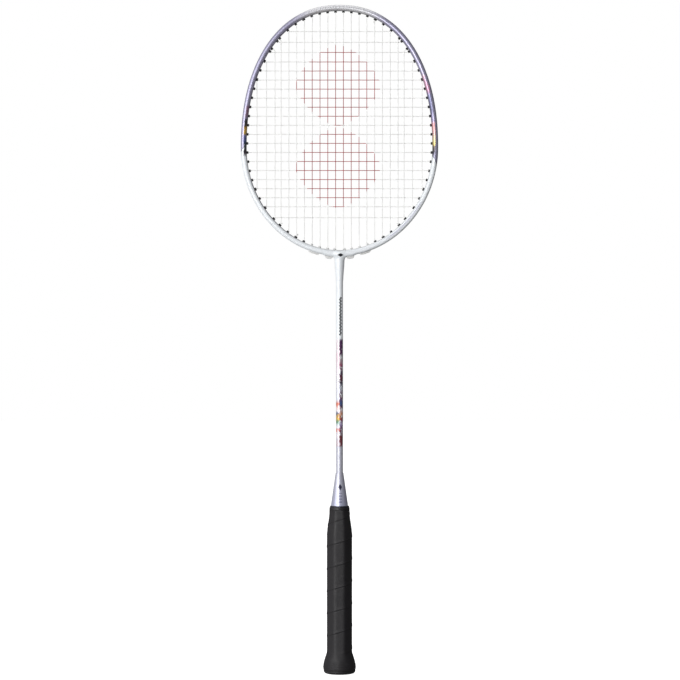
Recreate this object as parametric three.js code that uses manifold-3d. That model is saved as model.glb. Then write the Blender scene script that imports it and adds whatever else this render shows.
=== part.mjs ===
// Badminton racket: carbon hoop and throat, hollow shaft, cone cap, wooden handle, grip, grommets, strings.
// Millimetres, +Z from the butt to the tip of the head, X across the face, Y normal to the string bed.
// The origin is the centre of the butt end face.

import * as THREE from 'three';
import { mergeVertices } from 'three/addons/utils/BufferGeometryUtils.js';
import Module from 'manifold-3d';

const wasm = await Module();
wasm.setup();

// ---- driving dimensions -------------------------------------------------------------------------

const OVERALL_LENGTH = 675;

// hoop: its centre line is two half superellipses that meet at the widest height
const TUBE_WIDTH = 6;            // across the tube, in the plane of the face
const TUBE_DEPTH = 10;           // through the face
const TUBE_SQUARENESS = 2.5;
const HOOP_HALF_WIDTH = 96.8;
const HOOP_WIDEST_Z = 531;
const HOOP_TOP_POWER = 2.2;
const HOOP_BOTTOM_HEIGHT = 106.5;
const HOOP_BOTTOM_POWER = 1.98;
const HOOP_STATIONS = 72;
const HOLLOW_HALF_DEPTH = 3.6;   // air space inside the tube
const HOLLOW_OUTER = 0.3;
const HOLLOW_INNER = -2;

// string groove round the outside of the hoop, as offsets from the centre line
const GROOVE_FLOOR = 1.2;
const GROOVE_HALF_WIDTH = 2;
const LIP_HALF_WIDTH = 2.3;
const LIP_ANGLE = Math.asin((LIP_HALF_WIDTH * 2 / TUBE_DEPTH) ** (TUBE_SQUARENESS / 2));
const LIP_OFFSET = TUBE_WIDTH / 2 * Math.cos(LIP_ANGLE) ** (2 / TUBE_SQUARENESS);
const HOOP_TOP_HEIGHT = OVERALL_LENGTH - LIP_OFFSET - HOOP_WIDEST_Z;

// throat: a short cone round the shaft, and two cheeks that spread from it into the hoop
const THROAT_Z = 396.5;
const THROAT_MOUTH_RADIUS = 3.95;
const THROAT_RADIUS = 4.3;
const THROAT_NECK_Z = 413;
const THROAT_NECK_RADIUS = 5;
const THROAT_TOP_Z = 425.5;
const CHEEK_REACH = 18;
const CHEEK_WAIST_Z = 415.5;
const CHEEK_BEND_Z = 421.2;      // height of the curve's control point
const CHEEK_TIP_Z = 423.4;
const CHEEK_TOP_Z = 425.2;
const CHEEK_INNER_Y = 2.3;
const CHEEK_OUTER_Y = 4.4;

// shaft
const SHAFT_RADIUS = 3.5;
const SHAFT_BORE_RADIUS = 2.2;
const SHAFT_BOTTOM_Z = 60;
const SHAFT_TOP_Z = 412;

// joint piece between shaft and hoop
const STEM_RADIUS = 1.8;
const STEM_BOTTOM_Z = 388;
const STEM_TOP_Z = 424.5;
const ARM_REACH = 14;
const ARM_HALF_DEPTH = 2.7;
const ARM_INNER = -1.9;
const ARM_OUTER = 0.3;

// handle: heights and half widths across the flats of the wooden core, from the butt up
const CORE_BOTTOM_Z = 4.4;
const CORE_TOP_Z = 164;
const CORE_PROFILE = [
  [CORE_BOTTOM_Z, 13.9], [10, 14.1], [13.6, 13.4], [20.5, 11], [141, 11], [155, 9.4], [CORE_TOP_Z, 8.7]];
const SPIGOT_BOTTOM_Z = 150;
const SPIGOT_TOP_Z = 182;
const SPIGOT_RADIUS = 5.9;
const SPIGOT_TOP_RADIUS = 4.9;
const CONE_TOP_Z = 202.8;
const CONE_BOTTOM_Z = 164.3;
const CONE_RADIUS = 8.5;
const CONE_SHOULDER_Z = 171;     // the cone is straight from here to its top
const GRIP_BOTTOM_Z = 3.9;
const GRIP_TOP_Z = 165.3;
const GRIP_PROFILE = [
  [GRIP_BOTTOM_Z, 16], [5.4, 16.5], [9, 16.4], [13.6, 15.6], [20.5, 13.1], [22.5, 12.8], [141, 12.8],
  [147, 12.3], [159, 10.8], [GRIP_TOP_Z, 10.3]];
const BUTT_RADIUS = 15.6;
const BUTT_FACE_RADIUS = 13.4;
const BUTT_HEIGHT = 3.6;
const PLUG_LENGTH = 26;
const BAND_BOTTOM_Z = 165.4;
const BAND_TOP_Z = 169.4;
const BAND_INNER_RADIUS = 8.8;
const BAND_OUTER_RADIUS = 10;
const BAND_TOP_RADIUS = 9.6;
const TACK_Z = 9;
const TACK_HEAD_Y = 13.75;
const TACK_LENGTH = 7;
const FIT_GAP = 0.3;
const SLIP_GAP = 0.2;            // round pieces pushed into round holes

// strings and grommets
const STRING_RADIUS = 0.34;
const MAIN_PITCH = 7.88;
const MAINS_PER_SIDE = 11;
const CROSS_PITCH = 9.14;
const CROSS_COUNT = 21;
const CROSS_MIDDLE_Z = 553.7;
const STRING_LANE = 0.35;        // mains lie at -Y of the middle plane, crosses at +Y
const TIE_OFF_LANE = 1.05;
const LANE_OFFSET = 2.45;        // string centre in the groove
const MOUTH_OFFSET = -5.2;       // where a string leaves its grommet inside the hoop
const TIP_OFFSET = -4.9;         // inner end of a grommet barrel
const FLANGE_BOTTOM = 1.45;
const FLANGE_TOP = 1.95;
const FLANGE_HALF_WIDTH = 1.65;
const HOLE_SIDES = 6;
const GROMMET_GAP = 0.2;
const SINGLE = { bore: 0.85, barrel: 1.35 };
const WIDE = { bore: 1.0, barrel: 1.6 };
const CHANNEL_TOPS = { outer: 4.4, inner: 5.4 };  // the throat grommets' walls stand proud of the hoop
const CHANNEL_HALF_WIDTH = 0.95;
const KNOT_RADIUS = 0.85;

// ---- materials ----------------------------------------------------------------------------------

const FINISHES = {
  framePaint: { color: 0xb9b6cd, roughness: 0.25, metalness: 0.35 },
  shaftPaint: { color: 0xe8ecf0, roughness: 0.25, metalness: 0.2 },
  conePaint: { color: 0xb4b9cc, roughness: 0.3, metalness: 0.4 },
  resin: { color: 0x3c3c40, roughness: 0.6, metalness: 0 },
  wood: { color: 0xc7a77a, roughness: 0.7, metalness: 0 },
  grip: { color: 0x323138, roughness: 0.75, metalness: 0 },
  rubber: { color: 0x111216, roughness: 0.55, metalness: 0 },
  steel: { color: 0x9a9ca0, roughness: 0.35, metalness: 1 },
  grommet: { color: 0x16161a, roughness: 0.45, metalness: 0 },
  clearGrommet: { color: 0xd7d7d2, roughness: 0.4, metalness: 0 },
  string: { color: 0xefefec, roughness: 0.35, metalness: 0 },
};

function finish(name) {
  return new THREE.MeshStandardMaterial(FINISHES[name]);
}

// ---- solids -------------------------------------------------------------------------------------

function welded(geometry) {
  const bare = geometry.clone();
  bare.deleteAttribute('normal');
  bare.deleteAttribute('uv');
  return mergeVertices(bare, 1e-4);
}

function toSolid(geometry) {
  const shape = welded(geometry);
  return new wasm.Manifold(new wasm.Mesh({
    numProp: 3,
    vertProperties: new Float32Array(shape.attributes.position.array),
    triVerts: new Uint32Array(shape.index.array),
  }));
}

function toGeometry(solid) {
  const result = solid.getMesh();
  const geometry = new THREE.BufferGeometry();
  geometry.setAttribute('position', new THREE.BufferAttribute(new Float32Array(result.vertProperties), 3));
  geometry.setIndex(new THREE.BufferAttribute(new Uint32Array(result.triVerts), 1));
  geometry.computeVertexNormals();
  return geometry;
}

function joined(solids) {
  return solids.reduce((sum, next) => sum.add(next));
}

// a body turned about Z: each profile point is [radius, height]
function turned(profile, segments, phase = 0) {
  const points = profile.map(([radius, height]) => new THREE.Vector2(radius, height));
  const geometry = new THREE.LatheGeometry(points, segments, phase);
  geometry.rotateX(Math.PI / 2);
  return geometry;
}

// a bar with its section in [offset, y] and its length along Z from 0 to 1, ready to be bent
function bar(section, steps) {
  const shape = new THREE.Shape(section.map(([offset, y]) => new THREE.Vector2(offset, y)));
  return new THREE.ExtrudeGeometry(shape, { depth: 1, steps, bevelEnabled: false });
}

function boxSection(bottom, top, y0, y1) {
  return [[bottom, y0], [top, y0], [top, y1], [bottom, y1]];
}

// ---- the line of the hoop -----------------------------------------------------------------------

function signedPower(value, power) {
  return Math.sign(value) * Math.abs(value) ** power;
}

// point, outward normal and tangent of the hoop's centre line; angle 0 is +X, a quarter turn is the tip
function hoopFrame(angle) {
  const c = Math.cos(angle);
  const s = Math.sin(angle);
  const power = s > 0 ? HOOP_TOP_POWER : HOOP_BOTTOM_POWER;
  const height = s > 0 ? HOOP_TOP_HEIGHT : HOOP_BOTTOM_HEIGHT;
  const point = new THREE.Vector3(
    HOOP_HALF_WIDTH * signedPower(c, 2 / power), 0, height * signedPower(s, 2 / power));
  const normal = new THREE.Vector3(
    signedPower(point.x / HOOP_HALF_WIDTH, power - 1) / HOOP_HALF_WIDTH, 0,
    signedPower(point.z / height, power - 1) / height).normalize();
  point.z += HOOP_WIDEST_Z;
  return { point, normal, tangent: new THREE.Vector3(-normal.z, 0, normal.x) };
}

function hoopPoint(angle, offset, y = 0) {
  const { point, normal } = hoopFrame(angle);
  return point.addScaledVector(normal, offset).setY(y);
}

// the ring turned about Y goes round the hoop: radius becomes the offset from the centre line
function bendRing(geometry, ringRadius) {
  const place = geometry.attributes.position;
  for (let i = 0; i < place.count; i += 1) {
    const angle = Math.atan2(place.getZ(i), place.getX(i));
    const offset = Math.hypot(place.getX(i), place.getZ(i)) - ringRadius;
    const point = hoopPoint(angle, offset, place.getY(i));
    place.setXYZ(i, point.x, point.y, point.z);
  }
  return geometry;
}

// the straight bar follows the hoop from one angle to the other
function bendBar(geometry, fromAngle, toAngle) {
  const place = geometry.attributes.position;
  for (let i = 0; i < place.count; i += 1) {
    const angle = fromAngle + (toAngle - fromAngle) * place.getZ(i);
    const point = hoopPoint(angle, place.getX(i), place.getY(i));
    place.setXYZ(i, point.x, point.y, point.z);
  }
  return geometry;
}

// angle in [low, high] where the line at this offset round the hoop reaches a given x or z
function angleAt(offset, axis, value, low, high) {
  const rising = hoopPoint(high, offset)[axis] > hoopPoint(low, offset)[axis];
  for (let step = 0; step < 60; step += 1) {
    const middle = (low + high) / 2;
    const above = hoopPoint(middle, offset)[axis] > value;
    if (above === rising) high = middle;
    else low = middle;
  }
  return (low + high) / 2;
}

// ---- string pattern -----------------------------------------------------------------------------

// main 1 is the outermost, main 11 the innermost; cross 1 is the highest
function mainX(number) {
  return MAIN_PITCH * (MAINS_PER_SIDE - number + 0.5);
}

// the crosses are evenly spaced, but the first three rise and the last one drops a little more
function crossZ(number) {
  const extra = { 1: 3.3, 2: 1.6, 3: 0.5, 21: -1.9 }[number] ?? 0;
  return CROSS_MIDDLE_Z + CROSS_PITCH * ((CROSS_COUNT + 1) / 2 - number) + extra;
}

// holes of the right side from the tip to the throat: M main, C cross, + a wide hole for a tie-off
const FLANK_CROSSES = Array.from({ length: 11 }, (_, i) => `C${i + 7}`);
const HOLE_PATTERN = [
  'M11', 'M10', 'M9', 'M8', 'M7+', 'M6', 'M5', 'C1', 'M4', 'C2', 'M3', 'C3', 'M2C4', 'C5', 'M1C6',
  ...FLANK_CROSSES,
  'M1C18', 'C19', 'M2C20', 'M3C21', 'M4+', 'M5', 'M6+', 'M7', 'M8', 'M9', 'M10', 'M11',
];
const LOWER_HALF_STARTS = HOLE_PATTERN.indexOf('M1C18');
const THROAT_LEAN = 0.5;         // the two holes beside the throat lean away from it, in radians
const QUARTER = Math.PI / 2;

function makeHole(code, index) {
  const main = Number(/M(\d+)/.exec(code)?.[1] ?? 0);
  const cross = Number(/C(\d+)/.exec(code)?.[1] ?? 0);
  const top = index < LOWER_HALF_STARTS;
  const angle = cross
    ? angleAt(MOUTH_OFFSET, 'z', crossZ(cross), -QUARTER, QUARTER)
    : angleAt(MOUTH_OFFSET, 'x', mainX(main), ...(top ? [0, QUARTER] : [-QUARTER, 0]));
  const { normal } = hoopFrame(angle);
  const mouth = hoopPoint(angle, MOUTH_OFFSET);
  const leans = !top && main === MAINS_PER_SIDE;
  const axis = normal.clone().applyAxisAngle(new THREE.Vector3(0, 1, 0), leans ? -THROAT_LEAN : 0);
  const wide = code.includes('+') || (main > 0 && cross > 0);
  return { main, cross, top, angle, normal, mouth, leans, axis, size: wide ? WIDE : SINGLE };
}

const HOLES = HOLE_PATTERN.map(makeHole);

function findHole(kind, number, top) {
  return HOLES.findIndex((hole) => hole[kind] === number && (kind === 'cross' || hole.top === top));
}

// the same hole on the right (side 1) or the left (side -1) of the hoop
function onSide(vector, side) {
  return new THREE.Vector3(vector.x * side, vector.y, vector.z);
}

// a point of the hole's axis, at an offset from the centre line, in a string lane
function holePoint(hole, side, offset, y) {
  const run = (offset - MOUTH_OFFSET) / hole.axis.dot(hole.normal);
  return onSide(hole.mouth.clone().addScaledVector(hole.axis, run), side).setY(y);
}

// a body turned about the hole's axis: each profile point is [radius, offset from the centre line]
function turnedInHole(profile, hole, side, segments = HOLE_SIDES) {
  const stretch = 1 / hole.axis.dot(hole.normal);
  const points = profile.map(
    ([radius, offset]) => new THREE.Vector2(radius, (offset - MOUTH_OFFSET) * stretch));
  const geometry = new THREE.LatheGeometry(points, segments);
  const axis = onSide(hole.axis, side);
  const across = new THREE.Vector3(-axis.z, 0, axis.x);
  const place = new THREE.Matrix4().makeBasis(across, axis, new THREE.Vector3(0, 1, 0));
  geometry.applyMatrix4(place.setPosition(onSide(hole.mouth, side)));
  return geometry;
}

function drill(hole, side, radius, from, to) {
  return toSolid(turnedInHole([[0, from], [radius, from], [radius, to], [0, to]], hole, side));
}

// ---- head ---------------------------------------------------------------------------------------

function hoopSection() {
  const steps = 11;
  const section = [];
  for (let i = 0; i <= steps; i += 1) {
    const turn = LIP_ANGLE + (2 * Math.PI - 2 * LIP_ANGLE) * (i / steps);
    section.push([
      TUBE_WIDTH / 2 * signedPower(Math.cos(turn), 2 / TUBE_SQUARENESS),
      TUBE_DEPTH / 2 * signedPower(Math.sin(turn), 2 / TUBE_SQUARENESS)]);
  }
  section.push([GROOVE_FLOOR, -GROOVE_HALF_WIDTH], [GROOVE_FLOOR, GROOVE_HALF_WIDTH]);
  return section;
}

function hoopRing(section) {
  const ringRadius = 100;
  const loop = [...section, section[0]];
  const points = loop.map(([offset, y]) => new THREE.Vector2(ringRadius + offset, y));
  return toSolid(bendRing(new THREE.LatheGeometry(points, HOOP_STATIONS), ringRadius));
}

// the air space in the tube, flat towards the groove and narrower towards the strings
function hollowSection() {
  return [
    [HOLLOW_OUTER, -HOLLOW_HALF_DEPTH], [HOLLOW_OUTER, HOLLOW_HALF_DEPTH],
    [HOLLOW_INNER, HOLLOW_HALF_DEPTH - 1], [HOLLOW_INNER, 1 - HOLLOW_HALF_DEPTH]];
}

function throatCone() {
  return toSolid(turned([
    [0, THROAT_Z], [THROAT_MOUTH_RADIUS, THROAT_Z], [THROAT_RADIUS, THROAT_Z + 8],
    [THROAT_NECK_RADIUS, THROAT_NECK_Z],
    [THROAT_NECK_RADIUS, THROAT_TOP_Z], [0, THROAT_TOP_Z]], 16));
}

// one flared plate in front of or behind the groove, where the throat spreads into the hoop
function throatCheek(side) {
  const waist = THROAT_NECK_RADIUS - 0.1;
  const bend = THROAT_NECK_RADIUS + 0.3;
  const shape = new THREE.Shape();
  shape.moveTo(-CHEEK_REACH, CHEEK_TIP_Z);
  shape.quadraticCurveTo(-bend, CHEEK_BEND_Z, -waist, CHEEK_WAIST_Z);
  shape.lineTo(waist, CHEEK_WAIST_Z);
  shape.quadraticCurveTo(bend, CHEEK_BEND_Z, CHEEK_REACH, CHEEK_TIP_Z);
  shape.lineTo(CHEEK_REACH, CHEEK_TOP_Z);
  shape.lineTo(-CHEEK_REACH, CHEEK_TOP_Z);
  shape.closePath();
  const depth = CHEEK_OUTER_Y - CHEEK_INNER_Y;
  const cheek = new THREE.ExtrudeGeometry(shape, { depth, bevelEnabled: false, curveSegments: 5 });
  cheek.rotateX(Math.PI / 2);
  cheek.translate(0, side > 0 ? CHEEK_OUTER_Y : -CHEEK_INNER_Y, 0);
  return toSolid(cheek);
}

// stem in the shaft and two arms in the hoop; grow makes the slightly larger hollow that holds it
function jointBody(grow, stemBottom) {
  const radius = STEM_RADIUS + grow;
  const stem = toSolid(turned([
    [0, stemBottom], [radius, stemBottom], [radius, STEM_TOP_Z], [0, STEM_TOP_Z]], 12));
  const depth = ARM_HALF_DEPTH + grow;
  const section = boxSection(ARM_INNER - grow, ARM_OUTER + grow, -depth, depth);
  const reach = (ARM_REACH + grow) / HOOP_HALF_WIDTH;
  return stem.add(toSolid(bendBar(bar(section, 6), -QUARTER - reach, -QUARTER + reach)));
}

// cuts the holes that the grommet barrels pass through
function drilled(body, holes) {
  const from = TIP_OFFSET - 1;
  const to = LANE_OFFSET + 2;
  const drills = holes.flatMap((hole) => (
    [1, -1].map((side) => drill(hole, side, hole.size.barrel + GROMMET_GAP, from, to))));
  return drills.reduce((rest, hole) => rest.subtract(hole), body);
}

function headFrame() {
  const tube = hoopRing(hoopSection()).subtract(hoopRing(hollowSection()));
  const whole = joined([tube, throatCone(), throatCheek(1), throatCheek(-1)]);
  const radius = SHAFT_RADIUS + SLIP_GAP;
  const top = SHAFT_TOP_Z + FIT_GAP;
  const socket = toSolid(turned([[0, THROAT_Z - 2], [radius, THROAT_Z - 2], [radius, top], [0, top]], 16));
  return toGeometry(drilled(whole.subtract(socket).subtract(jointBody(FIT_GAP, SHAFT_TOP_Z - 1)), HOLES));
}

function throatJoint() {
  const nearThroat = HOLES.filter((hole) => !hole.top && hole.main >= MAINS_PER_SIDE - 1);
  return toGeometry(drilled(jointBody(0, STEM_BOTTOM_Z), nearThroat));
}

// ---- shaft and handle ---------------------------------------------------------------------------

function shaftTube() {
  return turned([
    [SHAFT_BORE_RADIUS, SHAFT_BOTTOM_Z], [SHAFT_RADIUS, SHAFT_BOTTOM_Z],
    [SHAFT_RADIUS, SHAFT_TOP_Z], [SHAFT_BORE_RADIUS, SHAFT_TOP_Z], [SHAFT_BORE_RADIUS, SHAFT_BOTTOM_Z]], 16);
}

// hollow cap: a bore for the shaft above, a wider one for the spigot of the handle below
function coneCap() {
  const shaftHole = SHAFT_RADIUS + SLIP_GAP;
  const skirt = SPIGOT_RADIUS + FIT_GAP;
  const shoulder = SPIGOT_TOP_Z + FIT_GAP;
  return turned([
    [skirt, CONE_BOTTOM_Z], [CONE_RADIUS, CONE_BOTTOM_Z], [CONE_RADIUS, CONE_SHOULDER_Z],
    [4.15, CONE_TOP_Z - 1.2], [3.95, CONE_TOP_Z],
    [shaftHole, CONE_TOP_Z], [shaftHole, shoulder], [SPIGOT_TOP_RADIUS + FIT_GAP, shoulder],
    [skirt, CONE_BOTTOM_Z]], 20);
}

const OCTAGON = 8;
const OCTAGON_PHASE = Math.PI / OCTAGON;
const CORNER = 1 / Math.cos(OCTAGON_PHASE);      // corner radius of an octagon over half its flats

// heights and half widths across the flats become corner radii and heights
function octagonProfile(rows, grow) {
  return rows.map(([height, half]) => [(half + grow) * CORNER, height]);
}

// short round tack driven into the back of the core, which pins the start of the grip
function tackBody(grow, headThickness) {
  const pin = 0.6 + grow;
  const head = 1.7 + grow;
  const seat = -0.6 - grow;
  const profile = [
    [0, -TACK_LENGTH - grow], [pin, 1 - TACK_LENGTH - grow], [pin, seat], [head, seat],
    [head, headThickness], [0, headThickness]];
  const tack = new THREE.LatheGeometry(profile.map(([radius, y]) => new THREE.Vector2(radius, y)), 8);
  tack.translate(0, TACK_HEAD_Y, TACK_Z);
  return toSolid(tack);
}

function gripTack() {
  return toGeometry(tackBody(0, 0));
}

function handleCore() {
  const bore = SHAFT_RADIUS + SLIP_GAP;
  const outside = octagonProfile(CORE_PROFILE, 0);
  const body = toSolid(turned([[0, CORE_BOTTOM_Z], ...outside, [0, CORE_TOP_Z]], OCTAGON, OCTAGON_PHASE));
  const spigot = toSolid(turned([
    [0, SPIGOT_BOTTOM_Z], [SPIGOT_RADIUS, SPIGOT_BOTTOM_Z], [SPIGOT_RADIUS, CORE_TOP_Z + 2],
    [SPIGOT_TOP_RADIUS, SPIGOT_TOP_Z], [0, SPIGOT_TOP_Z]], 16));
  const shaftBore = toSolid(turned([[0, 0], [bore, 0], [bore, CONE_TOP_Z], [0, CONE_TOP_Z]], 16));
  return toGeometry(body.add(spigot).subtract(shaftBore).subtract(tackBody(SLIP_GAP, 4)));
}

function gripWrap() {
  const inner = octagonProfile(CORE_PROFILE, FIT_GAP);
  inner[0][1] = GRIP_BOTTOM_Z;
  inner[inner.length - 1][1] = GRIP_TOP_Z;
  const outer = octagonProfile(GRIP_PROFILE, 0);
  return turned([...outer, ...inner.reverse(), outer[0]], OCTAGON, OCTAGON_PHASE);
}

function buttCap() {
  const plug = SHAFT_RADIUS;
  const cap = toSolid(turned([
    [0, 0], [BUTT_FACE_RADIUS, 0], [BUTT_RADIUS - 0.6, 0.9], [BUTT_RADIUS, 2.2], [BUTT_RADIUS, BUTT_HEIGHT],
    [0, BUTT_HEIGHT]], 24));
  const stem = toSolid(turned([
    [0, BUTT_HEIGHT / 2], [plug, BUTT_HEIGHT / 2], [plug, PLUG_LENGTH - 2], [plug - 1, PLUG_LENGTH],
    [0, PLUG_LENGTH]], 12));
  return toGeometry(cap.add(stem));
}

function gripBand() {
  const rounding = 0.4;
  return turned([
    [BAND_INNER_RADIUS, BAND_BOTTOM_Z], [BAND_OUTER_RADIUS - rounding, BAND_BOTTOM_Z],
    [BAND_OUTER_RADIUS, BAND_BOTTOM_Z + rounding], [BAND_OUTER_RADIUS, BAND_TOP_Z - 1.4],
    [BAND_TOP_RADIUS, BAND_TOP_Z - rounding], [BAND_TOP_RADIUS - rounding, BAND_TOP_Z],
    [BAND_INNER_RADIUS, BAND_TOP_Z],
    [BAND_INNER_RADIUS, BAND_BOTTOM_Z]], 20);
}

// ---- grommets -----------------------------------------------------------------------------------

function barrelBody(hole, side) {
  const { barrel } = hole.size;
  const top = FLANGE_TOP - 0.1;
  return toSolid(turnedInHole([
    [0, TIP_OFFSET], [barrel, TIP_OFFSET], [barrel, top], [0, top]], hole, side));
}

function boreBody(hole, side) {
  return drill(hole, side, hole.size.bore, TIP_OFFSET - 1, LANE_OFFSET + 3);
}

// a lone grommet: barrel and flange in one turned ring
function singleGrommet(hole, side) {
  const { bore, barrel } = hole.size;
  const flange = Math.max(FLANGE_HALF_WIDTH, barrel + 0.25);
  return turnedInHole([
    [bore, TIP_OFFSET], [barrel, TIP_OFFSET], [barrel, FLANGE_BOTTOM],
    [flange, FLANGE_BOTTOM], [flange, FLANGE_TOP], [bore, FLANGE_TOP], [bore, TIP_OFFSET]], hole, side);
}

// hoop angle at which a hole comes out in the groove
function exitAngle(hole) {
  if (!hole.leans) return hole.angle;
  return angleAt(FLANGE_TOP, 'x', holePoint(hole, 1, FLANGE_TOP, 0).x, -QUARTER, 0);
}

// a bar in the groove that covers these holes on one side of the hoop
function grooveBar(section, steps, holes, side) {
  const margin = 1.8 / HOOP_HALF_WIDTH;
  const angles = holes.map(exitAngle);
  const from = Math.min(...angles) - margin;
  const to = Math.max(...angles) + margin;
  const span = side > 0 ? [from, to] : [Math.PI - to, Math.PI - from];
  return toSolid(bendBar(bar(section, steps), ...span));
}

// several barrels on a plate that lies in the groove, with any further bodies joined on
function grommetStrip(holes, side, extras = []) {
  const section = boxSection(FLANGE_BOTTOM, FLANGE_TOP, -FLANGE_HALF_WIDTH, FLANGE_HALF_WIDTH);
  const plate = grooveBar(section, holes.length, holes, side);
  const body = joined([plate, ...extras, ...holes.map((hole) => barrelBody(hole, side))]);
  return toGeometry(holes.reduce((rest, hole) => rest.subtract(boreBody(hole, side)), body));
}

// two barrels under a channel that stands proud of the hoop and shields the string between them
function throatGrommet(holes, side, top) {
  const walls = [[-FLANGE_HALF_WIDTH, -CHANNEL_HALF_WIDTH], [CHANNEL_HALF_WIDTH, FLANGE_HALF_WIDTH]].map(
    (edges) => grooveBar(boxSection(FLANGE_TOP - 0.2, top, ...edges), holes.length, holes, side));
  return grommetStrip(holes, side, walls);
}

// ---- strings ------------------------------------------------------------------------------------

// a path of straight runs, whose steps fall on its corners
class Polyline extends THREE.Curve {
  constructor(points) {
    super();
    this.points = points;
  }

  getPoint(t) {
    const place = t * (this.points.length - 1);
    const index = Math.min(Math.floor(place), this.points.length - 2);
    return this.points[index].clone().lerp(this.points[index + 1], place - index);
  }

  getUtoTmapping(u) {
    return u;
  }

  getTangent(t) {
    const last = this.points.length - 1;
    const index = Math.round(t * last);
    const sum = new THREE.Vector3();
    if (index > 0) sum.add(this.points[index].clone().sub(this.points[index - 1]).normalize());
    if (index < last) sum.add(this.points[index + 1].clone().sub(this.points[index]).normalize());
    return sum.normalize();
  }
}

function stringAlong(points) {
  const section = new THREE.Shape();
  for (let i = 0; i < 6; i += 1) {
    const turn = i * Math.PI / 3;
    const x = STRING_RADIUS * Math.cos(turn);
    const y = STRING_RADIUS * Math.sin(turn);
    if (i === 0) section.moveTo(x, y);
    else section.lineTo(x, y);
  }
  section.closePath();
  return new THREE.ExtrudeGeometry(section, {
    steps: points.length - 1, bevelEnabled: false, extrudePath: new Polyline(points) });
}

function knot(point) {
  const ball = new THREE.SphereGeometry(KNOT_RADIUS, 8, 6);
  ball.translate(point.x, point.y, point.z);
  return toSolid(ball);
}

// points in the groove over the holes that lie between two others, in one lane
function grooveRun(fromIndex, toIndex, side, lane) {
  const step = Math.sign(toIndex - fromIndex);
  const points = [];
  for (let i = fromIndex + step; i !== toIndex; i += step) {
    points.push(holePoint(HOLES[i], side, LANE_OFFSET, lane));
  }
  return points;
}

// from the groove through a hole to its mouth inside the hoop
function inward(index, side, lane) {
  return [LANE_OFFSET, MOUTH_OFFSET].map((offset) => holePoint(HOLES[index], side, offset, lane));
}

function outward(index, side, lane) {
  return inward(index, side, lane).reverse();
}

// one string for all mains: out along the right side, across at the tip, back along the left side
function mainString() {
  const lane = -STRING_LANE;
  const tieHole = findHole('main', 4, false);
  const knotOffset = MOUTH_OFFSET - 0.8;
  const tieOff = (side) => [
    holePoint(HOLES[tieHole], side, knotOffset, STRING_LANE),
    holePoint(HOLES[tieHole], side, LANE_OFFSET, STRING_LANE),
    ...grooveRun(tieHole, findHole('main', 1, false), side, -TIE_OFF_LANE)];
  const points = tieOff(1);
  for (let index = 0; index < MAINS_PER_SIDE * 2; index += 1) {
    const side = index < MAINS_PER_SIDE ? 1 : -1;
    const number = side > 0 ? index + 1 : MAINS_PER_SIDE * 2 - index;
    const upward = index % 2 === 0;
    const start = findHole('main', number, !upward);
    if (index % MAINS_PER_SIDE > 0) {
      points.push(...grooveRun(findHole('main', number - side, !upward), start, side, lane));
    }
    points.push(...inward(start, side, lane), ...outward(findHole('main', number, upward), side, lane));
  }
  points.push(...tieOff(-1).reverse());
  const knots = [1, -1].map((side) => knot(holePoint(HOLES[tieHole], side, knotOffset, 0)));
  return toGeometry(joined([toSolid(stringAlong(points)), ...knots]));
}

// one string for all crosses: from a wide hole near the tip down to a wide hole near the throat
function crossString() {
  const startHole = findHole('main', 7, true);
  const endHole = findHole('main', 6, false);
  const tailOffset = MOUTH_OFFSET - 1.2;
  const tailLane = STRING_LANE + 0.1;
  const lane = STRING_LANE;
  const points = [
    holePoint(HOLES[startHole], 1, tailOffset, tailLane), ...outward(startHole, 1, lane),
    ...grooveRun(startHole, findHole('cross', 1), 1, lane)];
  for (let number = 1; number <= CROSS_COUNT; number += 1) {
    const hole = findHole('cross', number);
    const side = number % 2 === 1 ? 1 : -1;
    points.push(...inward(hole, side, lane), ...outward(hole, -side, lane));
    if (number < CROSS_COUNT) points.push(...grooveRun(hole, findHole('cross', number + 1), -side, lane));
  }
  points.push(
    ...grooveRun(findHole('cross', CROSS_COUNT), endHole, -1, TIE_OFF_LANE), ...inward(endHole, -1, lane),
    holePoint(HOLES[endHole], -1, tailOffset, tailLane));
  const knots = [[startHole, 1], [endHole, -1]].map(([index, side]) => (
    knot(holePoint(HOLES[index], side, tailOffset - 0.2, lane + 0.6))));
  return toGeometry(joined([toSolid(stringAlong(points)), ...knots]));
}

// ---- assembly -----------------------------------------------------------------------------------

const racket = new THREE.Group();

function addPart(name, geometry, finishName) {
  const mesh = new THREE.Mesh(geometry, finish(finishName));
  mesh.name = name;
  racket.add(mesh);
}

addPart('head_frame', headFrame(), 'framePaint');
addPart('throat_joint', throatJoint(), 'resin');
addPart('shaft', shaftTube(), 'shaftPaint');
addPart('cone_cap', coneCap(), 'conePaint');
addPart('handle_core', handleCore(), 'wood');
addPart('butt_cap', buttCap(), 'rubber');
addPart('grip_wrap', gripWrap(), 'grip');
addPart('grip_band', gripBand(), 'rubber');
addPart('grip_tack', gripTack(), 'steel');
addPart('main_string', mainString(), 'string');
addPart('cross_string', crossString(), 'string');

const shoulder = HOLES.slice(findHole('main', 5, true), findHole('cross', 3) + 1);
const flank = HOLES.slice(findHole('cross', 7), findHole('cross', 17) + 1);
const [throatOuter, throatInner] = [[8, 9], [10, 11]].map(
  (pair) => pair.map((number) => HOLES[findHole('main', number, false)]));
const grouped = new Set([...shoulder, ...flank, ...throatOuter, ...throatInner]);

function singleName(hole, sideName) {
  const strings = [hole.main ? `main_${hole.main}` : '', hole.cross ? `cross_${hole.cross}` : ''];
  return ['grommet', hole.top ? 'upper' : 'lower', ...strings.filter(Boolean), sideName].join('_');
}

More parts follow.
